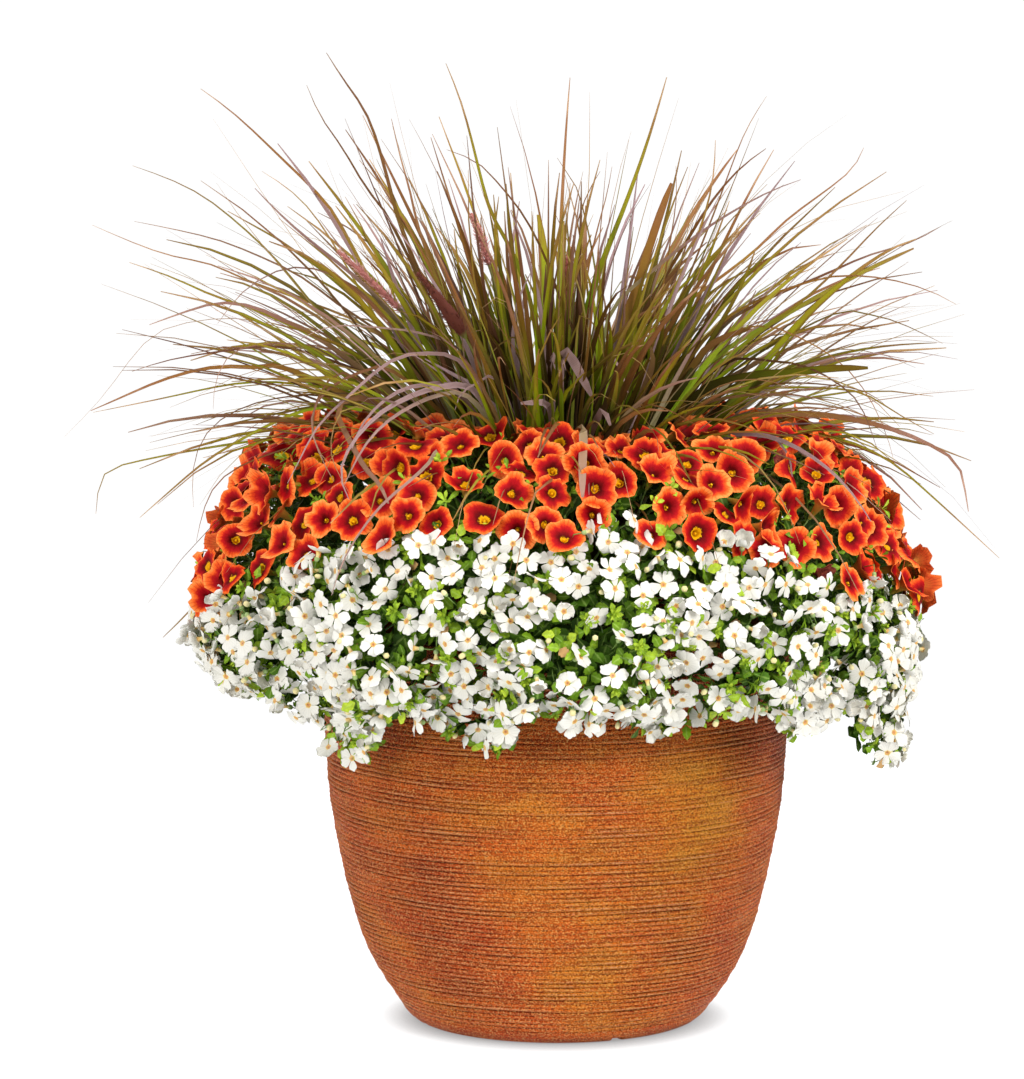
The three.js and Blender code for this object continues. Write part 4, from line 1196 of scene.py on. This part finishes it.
colour = finish.blend(finish.times(shade, 0.6), colour, "#3A0604")
aged = finish.between(tint, 0.93, 0.97)
colour = finish.blend(aged, colour, finish.blend(blotch, "#5E1A22", "#A0503A"))
finish.feed(shader.inputs["Base Color"], colour)
skin = finish.plus(vein, finish.times(blotch, 0.5))
finish.raised(shader, skin, 0.35, 0.0006)


def rings_about(rows, radius, columns):
    """Rings about an axis, in metres, from radius[n, row, 1] and the heights in rows, in millimetres."""
    turn = 2 * np.pi * np.arange(columns) / columns
    return np.stack([radius * np.cos(turn), radius * np.sin(turn), rows[:, 1:2] + 0 * radius * turn], -1) * MM


def calibrachoa_blooms(draw, count, tint):
    """Trumpets about their own axes, in metres, each ruffled and folded in its own way."""

    def each(low, high):
        return draw.uniform(low, high, (count, 1, 1))

    which = np.repeat(np.arange(5), len(LOBE_STEPS))
    turn = 2 * np.pi / 5 * (which + np.tile(LOBE_STEPS, 5) / 2)
    off = np.abs(np.tile(LOBE_STEPS, 5))
    lobe_size = 1 + draw.normal(0, 0.06, (count, 5))[:, which] * (1 - off ** 3)
    rim = draw.uniform(*BLOOM_RADIUS, (count, 1)) * (1 - 0.04 * off ** 2) * lobe_size
    rim = rim * (1 - draw.uniform(0.06, 0.2, (count, 1)) * smooth(0.5, 1, off))
    share, added, height, reach, side = BLOOM_ROWS.T[:, :, None]
    old = (tint > 0.95)[:, None, None]
    radius = share * rim[:, None] * np.where(old, 0.62, 1) + added
    flat = radius / 17
    outer = np.clip((share - 0.38) / 0.62, 0, 1)
    lobe_bend = draw.normal(0, 2.3, (count, 5))[:, None, which] * (1 - off ** 2)
    lift = each(0.6, 8.0) * flat ** 1.8 - 1.1 * np.exp(-(radius - 3.4) / 2.4)
    lift = lift + each(-3.8, 3.8) * flat ** 2 * np.cos(2 * (turn - each(0, 6.3)))
    lift = lift + each(-3.0, 8.5) * flat ** 2 * np.clip(np.cos(turn - each(0, 6.3)), 0, 1) ** 2
    lift = lift + lobe_bend * outer ** 1.5
    lift = lift - each(0.4, 4.4) * outer ** 3 * (1 - 0.5 * off)
    lift = lift + each(-2.2, 0.8) * off ** 2 * flat
    lift = lift + each(0.2, 1.6) * outer ** 2 * np.sin(8 * turn + each(0, 6.3))
    lift = lift + each(0, 1.2) * outer ** 2 * np.sin(11 * turn + each(0, 6.3))
    lift = lift + np.where(old, 9 * flat ** 2, 0)
    z = height + lift * np.where(share > 0, 1, 0)
    points = np.stack([radius * np.cos(turn), radius * np.sin(turn), z + 0 * radius], -1) * MM
    marks = {"reach": reach[None], "lobe": off, "back": side[None], "tint": tint[:, None, None]}
    stigma = rings_about(STIGMA_ROWS, STIGMA_ROWS[:, :1] * np.ones((count, 1, 1)), STIGMA_SIDES)
    knob_marks = {"reach": 0.13, "lobe": 0.5, "back": 0.0, "tint": 0.5}
    return (points, marks), (stigma, knob_marks)


draw = np.random.default_rng(61)
bloom_share, bloom_turn = strewn(
    draw, BLOOM_SPACING, 9000, all_round(0.035),
    lambda a: border(a) + 0.035 * drift(a, 0, 7, 24, 1),
    lambda a, h: 1 + 0.28 * np.clip(drift(a, h, 9, 14, 12), -0.4, 1))
bloom_count = len(bloom_share)
bloom_normal = mound_normal(bloom_share, bloom_turn)
bloom_facing = unit(bloom_normal + 0.35 * outward_of(bloom_turn) + LIT_SIDE
                    + draw.normal(0, 0.46, (bloom_count, 3)))
bloom_place = on_mound(bloom_share, bloom_turn) + bloom_normal * draw.uniform(-10, 4, (bloom_count, 1)) * MM
bloom_frames = facing_frames(bloom_facing, draw.uniform(0, 6.3, bloom_count))
bloom_tint = draw.uniform(0, 0.9, bloom_count)
bloom_tint[draw.uniform(0, 1, bloom_count) < 0.02] = 1.0
(bloom_points, bloom_marks), (stigma_points, stigma_marks) = calibrachoa_blooms(draw, bloom_count, bloom_tint)
blooms = Growth(set_out(bloom_points, bloom_frames, bloom_place), closed_net(len(BLOOM_ROWS), BLOOM_COLUMNS),
                1.4, **bloom_marks)
stigmas = Growth(set_out(stigma_points, bloom_frames, bloom_place),
                 closed_net(len(STIGMA_ROWS), STIGMA_SIDES), 1.0, **stigma_marks)
bloom_plant = plant_of(bloom_turn, CALIBRACHOA_PLANTS)
for number in range(3):
    mine = bloom_plant == number
    make_piece(f"calibrachoa_flowers_{number + 1}", [blooms.only(mine), stigmas.only(mine)], bloom_finish,
               [f"calibrachoa_{number + 1}_flowers"], crisp=75)

# ---- calibrachoa leaves -------------------------------------------------------------------------------
# Whorls of small spoon-shaped leaves, dull green, lighter at the shoots' tips and painted darker the deeper
# they lie, as shade; broad leaves further in, painted dark as shade; and five narrow sepals clasping the tube
# of every flower.

SPOON = np.array([(0.0, 0.16), (0.3, 0.42), (0.6, 0.92), (0.82, 0.95), (1.0, 0.12)])
SEPAL = np.array([(0.0, 0.3), (0.55, 0.95), (1.0, 0.12)])
GOLDEN_TURN = 2.39996
WHORL_LEAVES = 8
WHORL_SPACING = 16.6 * MM
SHADED_LEAVES = 3
SHADED_SPACING = 18 * MM
SEPALS = 5

leaf_finish, finish, shader = new_material("soft_green_leaf", 0.55)
shader.inputs["Specular IOR Level"].default_value = 0.14
along, across, tint = finish.mark("along"), finish.mark("across"), finish.mark("tint")
colour = finish.ramp(tint, (0.0, "#203608"), (0.35, "#466C10"), (0.7, "#7CA01C"), (1.0, "#B8CE38"))
midrib = finish.between(across, 0.3, 0.0, 0.0, 0.35)
colour = finish.blend(midrib, colour, "#B2D06A")
mottle = finish.effect(grain, Size=0.003)
colour = finish.blend(finish.between(mottle["Specks"], 0.2, 0.9, 0.25, 0.0), colour, "#2C440E")
colour = finish.blend(finish.between(finish.mark("dry"), 0.4, 0.6), colour, "#B08A58")
finish.feed(shader.inputs["Base Color"], colour)
finish.raised(shader, mottle["Specks"], 0.4, 0.0005)


def leaves(base, along, up, length, width, outline, bend, fold, tint, dry=0.0):
    """Thin leaves from their foot, direction and upper side: each is folded along its midrib and bent."""
    t, half = outline[:, 0], outline[:, 1]
    count = len(base)
    bend = np.broadcast_to(bend, count)[:, None] + 1e-4
    reach = length[:, None] * np.sin(bend * t) / bend
    drop = -length[:, None] * (1 - np.cos(bend * t)) / bend
    edge = width[:, None] / 2 * half
    flat = 0 * edge
    own = np.stack([np.stack([reach, edge, drop + fold * edge], -1), np.stack([reach, flat, drop], -1),
                    np.stack([reach, -edge, drop + fold * edge], -1)], 2)
    frames = np.stack([along, np.cross(up, along), up], 2)
    return Growth(set_out(own, frames, base), net(len(t), 3, False), 1.0, along=t[None, :, None],
                  across=[1, 0, 1], tint=np.broadcast_to(tint, count)[:, None, None],
                  dry=np.broadcast_to(dry, count)[:, None, None])


def whorls(draw, centre, axis, number, inner_tilt, outer_tilt, height):
    """Feet, directions and upper sides of the leaves of shoots: number leaves to a shoot, spiralling down
    from its tip, the inner ones steep and the outer ones spread, over the given height."""
    order = np.linspace(0, 1, number)[None]
    turn = GOLDEN_TURN * np.arange(number)[None] + draw.uniform(0, 6.3, (len(centre), 1))
    tilt = np.radians(inner_tilt + (outer_tilt - inner_tilt) * order)
    tilt = tilt + draw.normal(0, 0.16, (len(centre), number))
    along = np.stack([np.sin(tilt) * np.cos(turn), np.sin(tilt) * np.sin(turn), np.cos(tilt)], -1)
    up = np.stack([-np.cos(tilt) * np.cos(turn), -np.cos(tilt) * np.sin(turn), np.sin(tilt)], -1)
    base = np.stack([0 * tilt, 0 * tilt, -height * order + 0 * tilt], -1)
    frames = facing_frames(axis, 0 * axis[:, 0])
    base, along, up = (np.einsum("nij,nkj->nki", frames, part).reshape(-1, 3) for part in (base, along, up))
    return base + np.repeat(centre, number, 0), along, up, np.tile(order.ravel(), len(centre))


draw = np.random.default_rng(71)
shoot_share, shoot_turn = strewn(draw, WHORL_SPACING, 12000, all_round(0), lambda a: border(a) + 0.03)
shoot_normal = mound_normal(shoot_share, shoot_turn)
shoot_axis = unit(shoot_normal + 0.3 * outward_of(shoot_turn) + draw.normal(0, 0.35, shoot_normal.shape))
shoot_depth = draw.uniform(-2, 30, (len(shoot_share), 1))
shoot_place = under_mound(shoot_share, shoot_turn, shoot_depth * MM)
clear = off_faces(shoot_place, bloom_place, bloom_facing, 12 * MM)
shoot_place, shoot_axis, shoot_depth, shoot_turn = (
    part[clear] for part in (shoot_place, shoot_axis, shoot_depth, shoot_turn))
base, along, up, order = whorls(draw, shoot_place, shoot_axis, WHORL_LEAVES, 12, 95, 9 * MM)
# Leaves lying deeper under the mound get a darker tint: painted shade.
deep = np.repeat((shoot_depth[:, 0] + 2) / 32, WHORL_LEAVES)
spoon_tint_and_shade = np.clip(0.92 - 0.55 * deep - 0.25 * order + draw.normal(0, 0.1, len(base)), 0, 1)
spoons = leaves(base, along, up, draw.uniform(8, 15, len(base)) * MM * (0.6 + 0.5 * order),
                draw.uniform(3.4, 5.0, len(base)) * MM * (0.7 + 0.4 * order), SPOON,
                draw.uniform(0.1, 0.9, len(base)), 0.35, spoon_tint_and_shade)
spoon_plant = np.repeat(plant_of(shoot_turn, CALIBRACHOA_PLANTS), WHORL_LEAVES)


def shaded_leaves(draw, spacing, low, high, outline):
    """The plants' older leaves further in, broad and painted dark as shade, and the azimuths of their shoots.
    """
    share, azimuth = strewn(draw, spacing, 9000, low, high)
    depth = draw.uniform(22, 46, (len(share), 1)) * (1 - 0.4 * smooth(0.8, 1, share[:, None]))
    place = under_mound(share, azimuth, depth * MM)
    axis = unit(mound_normal(share, azimuth) + draw.normal(0, 0.35, place.shape))
    base, along, up, _ = whorls(draw, place, axis, SHADED_LEAVES, 60, 95, 3 * MM)
    length, width = draw.uniform(15, 24, len(base)) * MM, draw.uniform(10, 14, len(base)) * MM
    # Their low tint is painted shade.
    return leaves(base, along, up, length, width, outline, draw.uniform(0.2, 1.0, len(base)), 0.25,
                  draw.uniform(0, 0.3, len(base))), azimuth


shaded, shaded_turn = shaded_leaves(draw, SHADED_SPACING, all_round(0), lambda a: border(a) + 0.02, SPOON)
shaded_plant = np.repeat(plant_of(shaded_turn, CALIBRACHOA_PLANTS), SHADED_LEAVES)
tube_foot = bloom_place - bloom_frames[:, :, 2] * TUBE_LENGTH * MM
base, along, up, _ = whorls(draw, tube_foot, bloom_frames[:, :, 2], SEPALS, 22, 30, 0.5 * MM)
sepals = leaves(base, along, up, draw.uniform(8, 12, len(base)) * MM, np.full(len(base), 2.4 * MM), SEPAL,
                -0.3, 0.3, draw.uniform(0.5, 0.9, len(base)))
sepal_plant = np.repeat(bloom_plant, SEPALS)
for number in range(3):
    make_piece(f"calibrachoa_leaves_{number + 1}",
               [spoons.only(spoon_plant == number), shaded.only(shaded_plant == number),
                sepals.only(sepal_plant == number)],
               leaf_finish, [f"calibrachoa_{number + 1}_leaves"])

# ---- bacopa flowers -----------------------------------------------------------------------------------
# Small white flowers of five nearly separate round petals, with an orange eye and a short yellow tube in a
# green calyx, and round cream buds among them.

PETAL_ROWS = np.array([(0.0, 0.24), (0.22, 0.6), (0.46, 0.92), (0.7, 1.0), (0.88, 0.84), (1.0, 0.46)])
PETAL_COLUMNS = 5
WHITE_SPACING = 15.8 * MM
WHITE_RADIUS = (11.2, 13.6)
WHITE_DEPTH = 8.2                      # from a flower's face back to its stalk, in millimetres
BUD_SPACING = 30 * MM
BUD_DEPTH = 3.2
TUBE_SIDES = 6
# Rows of the tube: radius, height and mark, from the calyx up its outside and over into the eye.
TUBE_ROWS = np.array([(0.9, -8.4, -1.0), (2.0, -7.4, -0.95), (2.2, -5.0, -0.86), (1.35, -4.6, -0.7),
                      (1.7, -2.0, -0.3), (2.3, 0.2, -0.1), (2.0, 0.42, 0.13), (0.9, -1.1, 0.03)])
# Rows of a bud, in the same way, from its calyx to its tip.
BUD_ROWS = np.array([(0.7, -3.4, -1.0), (1.6, -2.6, -0.9), (2.1, -0.8, -0.72), (2.25, 1.0, -0.66),
                     (1.5, 2.6, -0.62), (0.4, 3.1, -0.62)])

white_finish, finish, shader = new_material("bacopa_petal", 0.6)
shader.inputs["Specular IOR Level"].default_value = 0.25
reach, lobe, tint = finish.mark("reach"), finish.mark("lobe"), finish.mark("tint")
vein = finish.effect(stripes, Across=lobe, Count=2.0, Width=0.2)["Lines"]
colour = finish.ramp(finish.times(finish.plus(reach, 1.0), 0.5),
                     (0.0, "#78A032"), (0.09, "#8CAA38"), (0.13, "#E8DC96"), (0.35, "#EFCB5C"),
                     (0.46, "#EDA21C"), (0.5, "#8A4600"), (0.515, "#CE7C00"), (0.555, "#F0AA08"),
                     (0.58, "#E6CC62"), (0.605, "#DAD6CB"), (1.0, "#DAD8D0"))
colour = finish.blend(finish.times(vein, finish.between(reach, 0.1, 0.9, 0.3, 0.08)), colour, "#A9A9A0")
soft = finish.effect(grain, Size=0.004)
colour = finish.blend(finish.between(soft["Patches"], 0.3, 1.0, 0.0, 0.1), colour, "#CFCFC8")
finish.feed(shader.inputs["Base Color"], colour)
finish.raised(shader, vein, 0.25, 0.0004)


def bacopa_petals(draw, count, cupping):
    """Five petals to a flower about its own axis, in metres; cupping folds young flowers forward."""
    t, half = PETAL_ROWS.T[:, None, None, :, None]
    across = np.linspace(1, -1, PETAL_COLUMNS)
    shape = (count, 5, 1, 1)

    def each(low, high, size=shape):
        return draw.uniform(low, high, size)

    length = each(*WHITE_RADIUS, (count, 1, 1, 1)) * draw.normal(1, 0.08, shape) - 1.9
    reach = 1.7 + length * (t - 0.24 * t ** 4 * across ** 2 - 0.05 * t ** 6 * (1 - np.abs(across)) ** 2)
    side = 4.9 * draw.normal(1, 0.09, shape) * half * across
    z = 0.2 + each(-3.8, 2.6, (count, 1, 1, 1)) * t ** 2 + each(-2.2, 2.2) * t ** 2
    z = z + each(-1.3, 1.6) * (half * across) ** 2 + each(-1.3, 1.3) * across * half * t
    z = z + cupping[:, None, None, None] * 9 * t ** 1.5
    reach = reach - cupping[:, None, None, None] * 5.5 * t ** 2
    turn = 2 * np.pi / 5 * np.arange(5)[None, :, None, None] + draw.normal(0, 0.13, shape)
    points = np.stack([reach * np.cos(turn) - side * np.sin(turn), reach * np.sin(turn) + side * np.cos(turn),
                       z + 0 * side], -1) * MM
    inward = np.broadcast_to(0.13 + 0.87 * t, points.shape[:-1])
    middle = np.broadcast_to(np.abs(across), points.shape[:-1])
    return points, inward, middle


draw = np.random.default_rng(81)
white_share, white_turn = strewn(
    draw, WHITE_SPACING, 16000, lambda a: border(a) + 0.035 * drift(a, 0, 7, 24, 1) + 0.012, all_round(1),
    lambda a, h: (0.9 + 0.4 * np.clip(drift(a, h, 19, 16, 14), -0.2, 1)) * (0.8 + 0.2 * smooth(0.3, 0.34, h))
    * (1 - 0.07 * np.cos(a) ** 2 - 0.14 * np.exp(-(apart(a, 228) / 15) ** 2)))
white_count = len(white_share)
white_normal = mound_normal(white_share, white_turn)
white_facing = unit(white_normal + 0.4 * outward_of(white_turn) + (0, 0, 0.1)
                    + draw.normal(0, 0.72, (white_count, 3)))
white_place = on_mound(white_share, white_turn) + white_normal * draw.uniform(-9, 5, (white_count, 1)) * MM
white_frames = facing_frames(white_facing, draw.uniform(0, 6.3, white_count))
cupping = np.where(draw.uniform(0, 1, white_count) < 0.14, draw.uniform(0.5, 1, white_count), 0)
petal_points, petal_reach, petal_lobe = bacopa_petals(draw, white_count, cupping)
petal_size = (len(PETAL_ROWS), PETAL_COLUMNS)
petal_points = set_out(petal_points.reshape(white_count, -1, 3), white_frames, white_place)
petals = Growth(petal_points.reshape(-1, *petal_size, 3), net(*petal_size, False), 1.0,
                reach=petal_reach.reshape(-1, *petal_size), lobe=petal_lobe.reshape(-1, *petal_size),
                tint=0.5)
tube_points = rings_about(TUBE_ROWS, TUBE_ROWS[:, :1] * np.ones((white_count, 1, 1)), TUBE_SIDES)
tubes = Growth(set_out(tube_points, white_frames, white_place), closed_net(len(TUBE_ROWS), TUBE_SIDES), 1.0,
               reach=TUBE_ROWS[None, :, 2:], lobe=0.5, tint=0.5)

bud_share, bud_turn = strewn(draw, BUD_SPACING, 4000, lambda a: border(a) + 0.02, all_round(0.99))
bud_count = len(bud_share)
bud_normal = mound_normal(bud_share, bud_turn)
bud_place = on_mound(bud_share, bud_turn) + bud_normal * draw.uniform(-4, 5, (bud_count, 1)) * MM
bud_axis = unit(bud_normal + draw.normal(0, 0.4, bud_normal.shape))
bud_frames = facing_frames(bud_axis, draw.uniform(0, 6.3, bud_count))
bud_points = rings_about(BUD_ROWS, BUD_ROWS[:, :1] * draw.uniform(0.8, 1.25, (bud_count, 1, 1)), TUBE_SIDES)
buds = Growth(set_out(bud_points, bud_frames, bud_place), closed_net(len(BUD_ROWS), TUBE_SIDES), 1.0,
              reach=BUD_ROWS[None, :, 2:], lobe=0.5, tint=0.5)

white_plant = plant_of(white_turn, BACOPA_PLANTS)
bud_plant = plant_of(bud_turn, BACOPA_PLANTS)
for number in range(3):
    mine = white_plant == number
    make_piece(f"bacopa_flowers_{number + 1}",
               [petals.only(np.repeat(mine, 5)), tubes.only(mine), buds.only(bud_plant == number)],
               white_finish, [f"bacopa_{number + 1}_flowers"])

# ---- bacopa leaves ------------------------------------------------------------------------------------
# Small rounded leaves with coarse teeth, in twos and threes along the trailing stems, the toothed ones
# painted darker the deeper they lie, as shade; broad leaves further in, painted dark as shade; and tight
# bright rosettes of young leaves at the shoots' tips.

TOOTHED = np.array([(0.0, 0.12), (0.22, 0.76), (0.38, 1.0), (0.5, 0.78), (0.64, 0.98), (0.8, 0.64),
                    (1.0, 0.14)])
YOUNG = np.array([(0.0, 0.2), (0.35, 0.8), (0.5, 0.74), (0.7, 0.86), (1.0, 0.1)])
KNOT_LEAVES = 3
KNOT_SPACING = 12.2 * MM
LIP_LEAVES = 2
LIP_SPACING = 10.5 * MM
ROSETTE_LEAVES = 14
ROSETTE_SPACING = 22.5 * MM
CLOSER_SPACING = 13 * MM               # of the shaded leaves

draw = np.random.default_rng(91)
knot_share, knot_turn = strewn(draw, KNOT_SPACING, 16000, lambda a: border(a) - 0.03, all_round(1))
knot_normal = mound_normal(knot_share, knot_turn)
knot_axis = unit(knot_normal + 0.2 * outward_of(knot_turn) + draw.normal(0, 0.45, knot_normal.shape))
knot_depth = draw.uniform(5, 28, (len(knot_share), 1)) * (1 - 0.7 * smooth(0.85, 1, knot_share[:, None]))
knot_place = under_mound(knot_share, knot_turn, knot_depth * MM)
base, along, up, _ = whorls(draw, knot_place, knot_axis, KNOT_LEAVES, 45, 85, 4 * MM)
# Toothed leaves lying deeper under the mound get a darker tint: painted shade.
deep = np.repeat((knot_depth[:, 0] - 5) / 23, KNOT_LEAVES)
toothed_tint_and_shade = np.clip(0.78 - 0.5 * deep + draw.normal(0, 0.14, len(base)), 0, 1)
length, width = draw.uniform(8, 13.5, len(base)) * MM, draw.uniform(6.5, 10.5, len(base)) * MM
toothed = leaves(base, along, up, length, width, TOOTHED, draw.uniform(0.1, 1.0, len(base)), 0.25,
                 toothed_tint_and_shade, (draw.uniform(0, 1, len(base)) < 0.02) * 1.0)
toothed_plant = np.repeat(plant_of(knot_turn, BACOPA_PLANTS), KNOT_LEAVES)

lip_share, lip_turn = strewn(draw, LIP_SPACING, 16000, all_round(0.82), all_round(1))
lip_normal = mound_normal(lip_share, lip_turn)
lip_place = under_mound(lip_share, lip_turn, draw.uniform(4, 20, (len(lip_share), 1)) * MM)
lip_axis = unit(lip_normal + (0, 0, -0.2) + draw.normal(0, 0.4, lip_normal.shape))
base, along, up, _ = whorls(draw, lip_place, lip_axis, LIP_LEAVES, 50, 85, 3 * MM)
length, width = draw.uniform(9, 14, len(base)) * MM, draw.uniform(8, 11.5, len(base)) * MM
lip = leaves(base, along, up, length, width, SPOON, draw.uniform(0.1, 0.9, len(base)), 0.2,
             draw.uniform(0.2, 0.6, len(base)))
lip_plant = np.repeat(plant_of(lip_turn, BACOPA_PLANTS), LIP_LEAVES)

shaded, shaded_turn = shaded_leaves(draw, CLOSER_SPACING, lambda a: border(a) - 0.02, all_round(0.95),
                                    SPOON)
shaded_plant = np.repeat(plant_of(shaded_turn, BACOPA_PLANTS), SHADED_LEAVES)

tip_share, tip_turn = strewn(draw, ROSETTE_SPACING, 9000, border, all_round(1))
tip_normal = mound_normal(tip_share, tip_turn)
tip_axis = unit(tip_normal + 0.3 * outward_of(tip_turn) + draw.normal(0, 0.3, tip_normal.shape))
tip_place = on_mound(tip_share, tip_turn) + tip_normal * draw.uniform(-6, 3, (len(tip_share), 1)) * MM
clear = (off_faces(tip_place, bloom_place, bloom_facing, 20 * MM)
         & off_faces(tip_place, white_place, white_facing, 8 * MM))
tip_place, tip_axis, tip_turn = tip_place[clear], tip_axis[clear], tip_turn[clear]
base, along, up, order = whorls(draw, tip_place, tip_axis, ROSETTE_LEAVES, 8, 88, 7 * MM)
young_tint = np.clip(1.0 - 0.35 * order + draw.normal(0, 0.08, len(base)), 0, 1)
young = leaves(base, along, up, (4 + 6.5 * order) * MM * draw.uniform(0.85, 1.2, len(base)),
               (2.2 + 4 * order) * MM, YOUNG, draw.uniform(0.1, 0.8, len(base)), 0.45, young_tint)
young_plant = np.repeat(plant_of(tip_turn, BACOPA_PLANTS), ROSETTE_LEAVES)
for number in range(3):
    make_piece(f"bacopa_leaves_{number + 1}",
               [toothed.only(toothed_plant == number), lip.only(lip_plant == number),
                shaded.only(shaded_plant == number), young.only(young_plant == number)],
               leaf_finish, [f"bacopa_{number + 1}_leaves"])

# ---- stalks -------------------------------------------------------------------------------------------
# The stems under the leaves, and a thin stalk from every flower and bud back into the plant. Stalks near
# the lip are shorter, so that they do not hang out below it.

STEMS_EACH = 34
STEM_SPREAD = 56                       # degrees to each side of the plant
# How deep the stems' tips lie, how far they rise over the rim, and how thick they are at the crown.
CALIBRACHOA_STEMS = (26 * MM, 4 * MM, 1.6 * MM)
BACOPA_STEMS = (16 * MM, 60 * MM, 1.2 * MM)
# Length and radius of the stalks.
BLOOM_STALK = (22 * MM, 0.7 * MM)
WHITE_STALK = (16 * MM, 0.5 * MM)
BUD_STALK = (14 * MM, 0.45 * MM)


def near_lip(length, share):
    """The stalk's length, cut down towards the lip."""
    return length * (1 - 0.6 * smooth(0.85, 1, share[:, None]))


def stalks(foot, facing, normal, length, thick):
    """Stalks that leave a flower's foot along its axis and turn down into the plant."""
    path = np.stack([foot, foot - facing * length * 0.45,
                     foot - facing * length * 0.5 - normal * length * 0.6], 1)
    radius = np.full(path.shape[:2], thick)
    side = unit(np.cross(facing, [0.31, 0.52, 0.79]))
    return Growth(swept(path, side, round_section(radius, 4)), closed_net(3, 4), 4.0, tint=0.45, root=0.0)


draw = np.random.default_rng(101)
bloom_stalks = stalks(tube_foot, bloom_frames[:, :, 2], bloom_normal, *BLOOM_STALK)
white_foot = white_place - white_frames[:, :, 2] * WHITE_DEPTH * MM
white_length = near_lip(WHITE_STALK[0], white_share)
white_stalks = stalks(white_foot, white_frames[:, :, 2], white_normal, white_length, WHITE_STALK[1])
bud_foot = bud_place - bud_frames[:, :, 2] * BUD_DEPTH * MM
bud_length = near_lip(BUD_STALK[0], bud_share)
bud_stalks = stalks(bud_foot, bud_frames[:, :, 2], bud_normal, bud_length, BUD_STALK[1])
for number in range(3):
    direction = CALIBRACHOA_PLANTS[number]
    azimuths = np.radians(direction + draw.uniform(-STEM_SPREAD, STEM_SPREAD, STEMS_EACH))
    shares = border(azimuths) * draw.uniform(0.05, 0.95, STEMS_EACH)
    stems = spreading_stems(CALIBRACHOA_ROOTS, direction, shares, azimuths, *CALIBRACHOA_STEMS)
    mine = bloom_plant == number
    make_piece(f"calibrachoa_stems_{number + 1}",
               [root_ball(CALIBRACHOA_ROOTS, direction, draw), stems, bloom_stalks.only(mine)],
               stem_finish, [f"calibrachoa_{number + 1}_stems"])
    direction = BACOPA_PLANTS[number]
    azimuths = np.radians(direction + draw.uniform(-STEM_SPREAD, STEM_SPREAD, STEMS_EACH))
    shares = border(azimuths) + (1 - border(azimuths)) * draw.uniform(0.05, 0.97, STEMS_EACH)
    stems = spreading_stems(BACOPA_ROOTS, direction, shares, azimuths, *BACOPA_STEMS)
    make_piece(f"bacopa_stems_{number + 1}",
               [root_ball(BACOPA_ROOTS, direction, draw), stems, white_stalks.only(white_plant == number),
                bud_stalks.only(bud_plant == number)],
               stem_finish, [f"bacopa_{number + 1}_stems"])
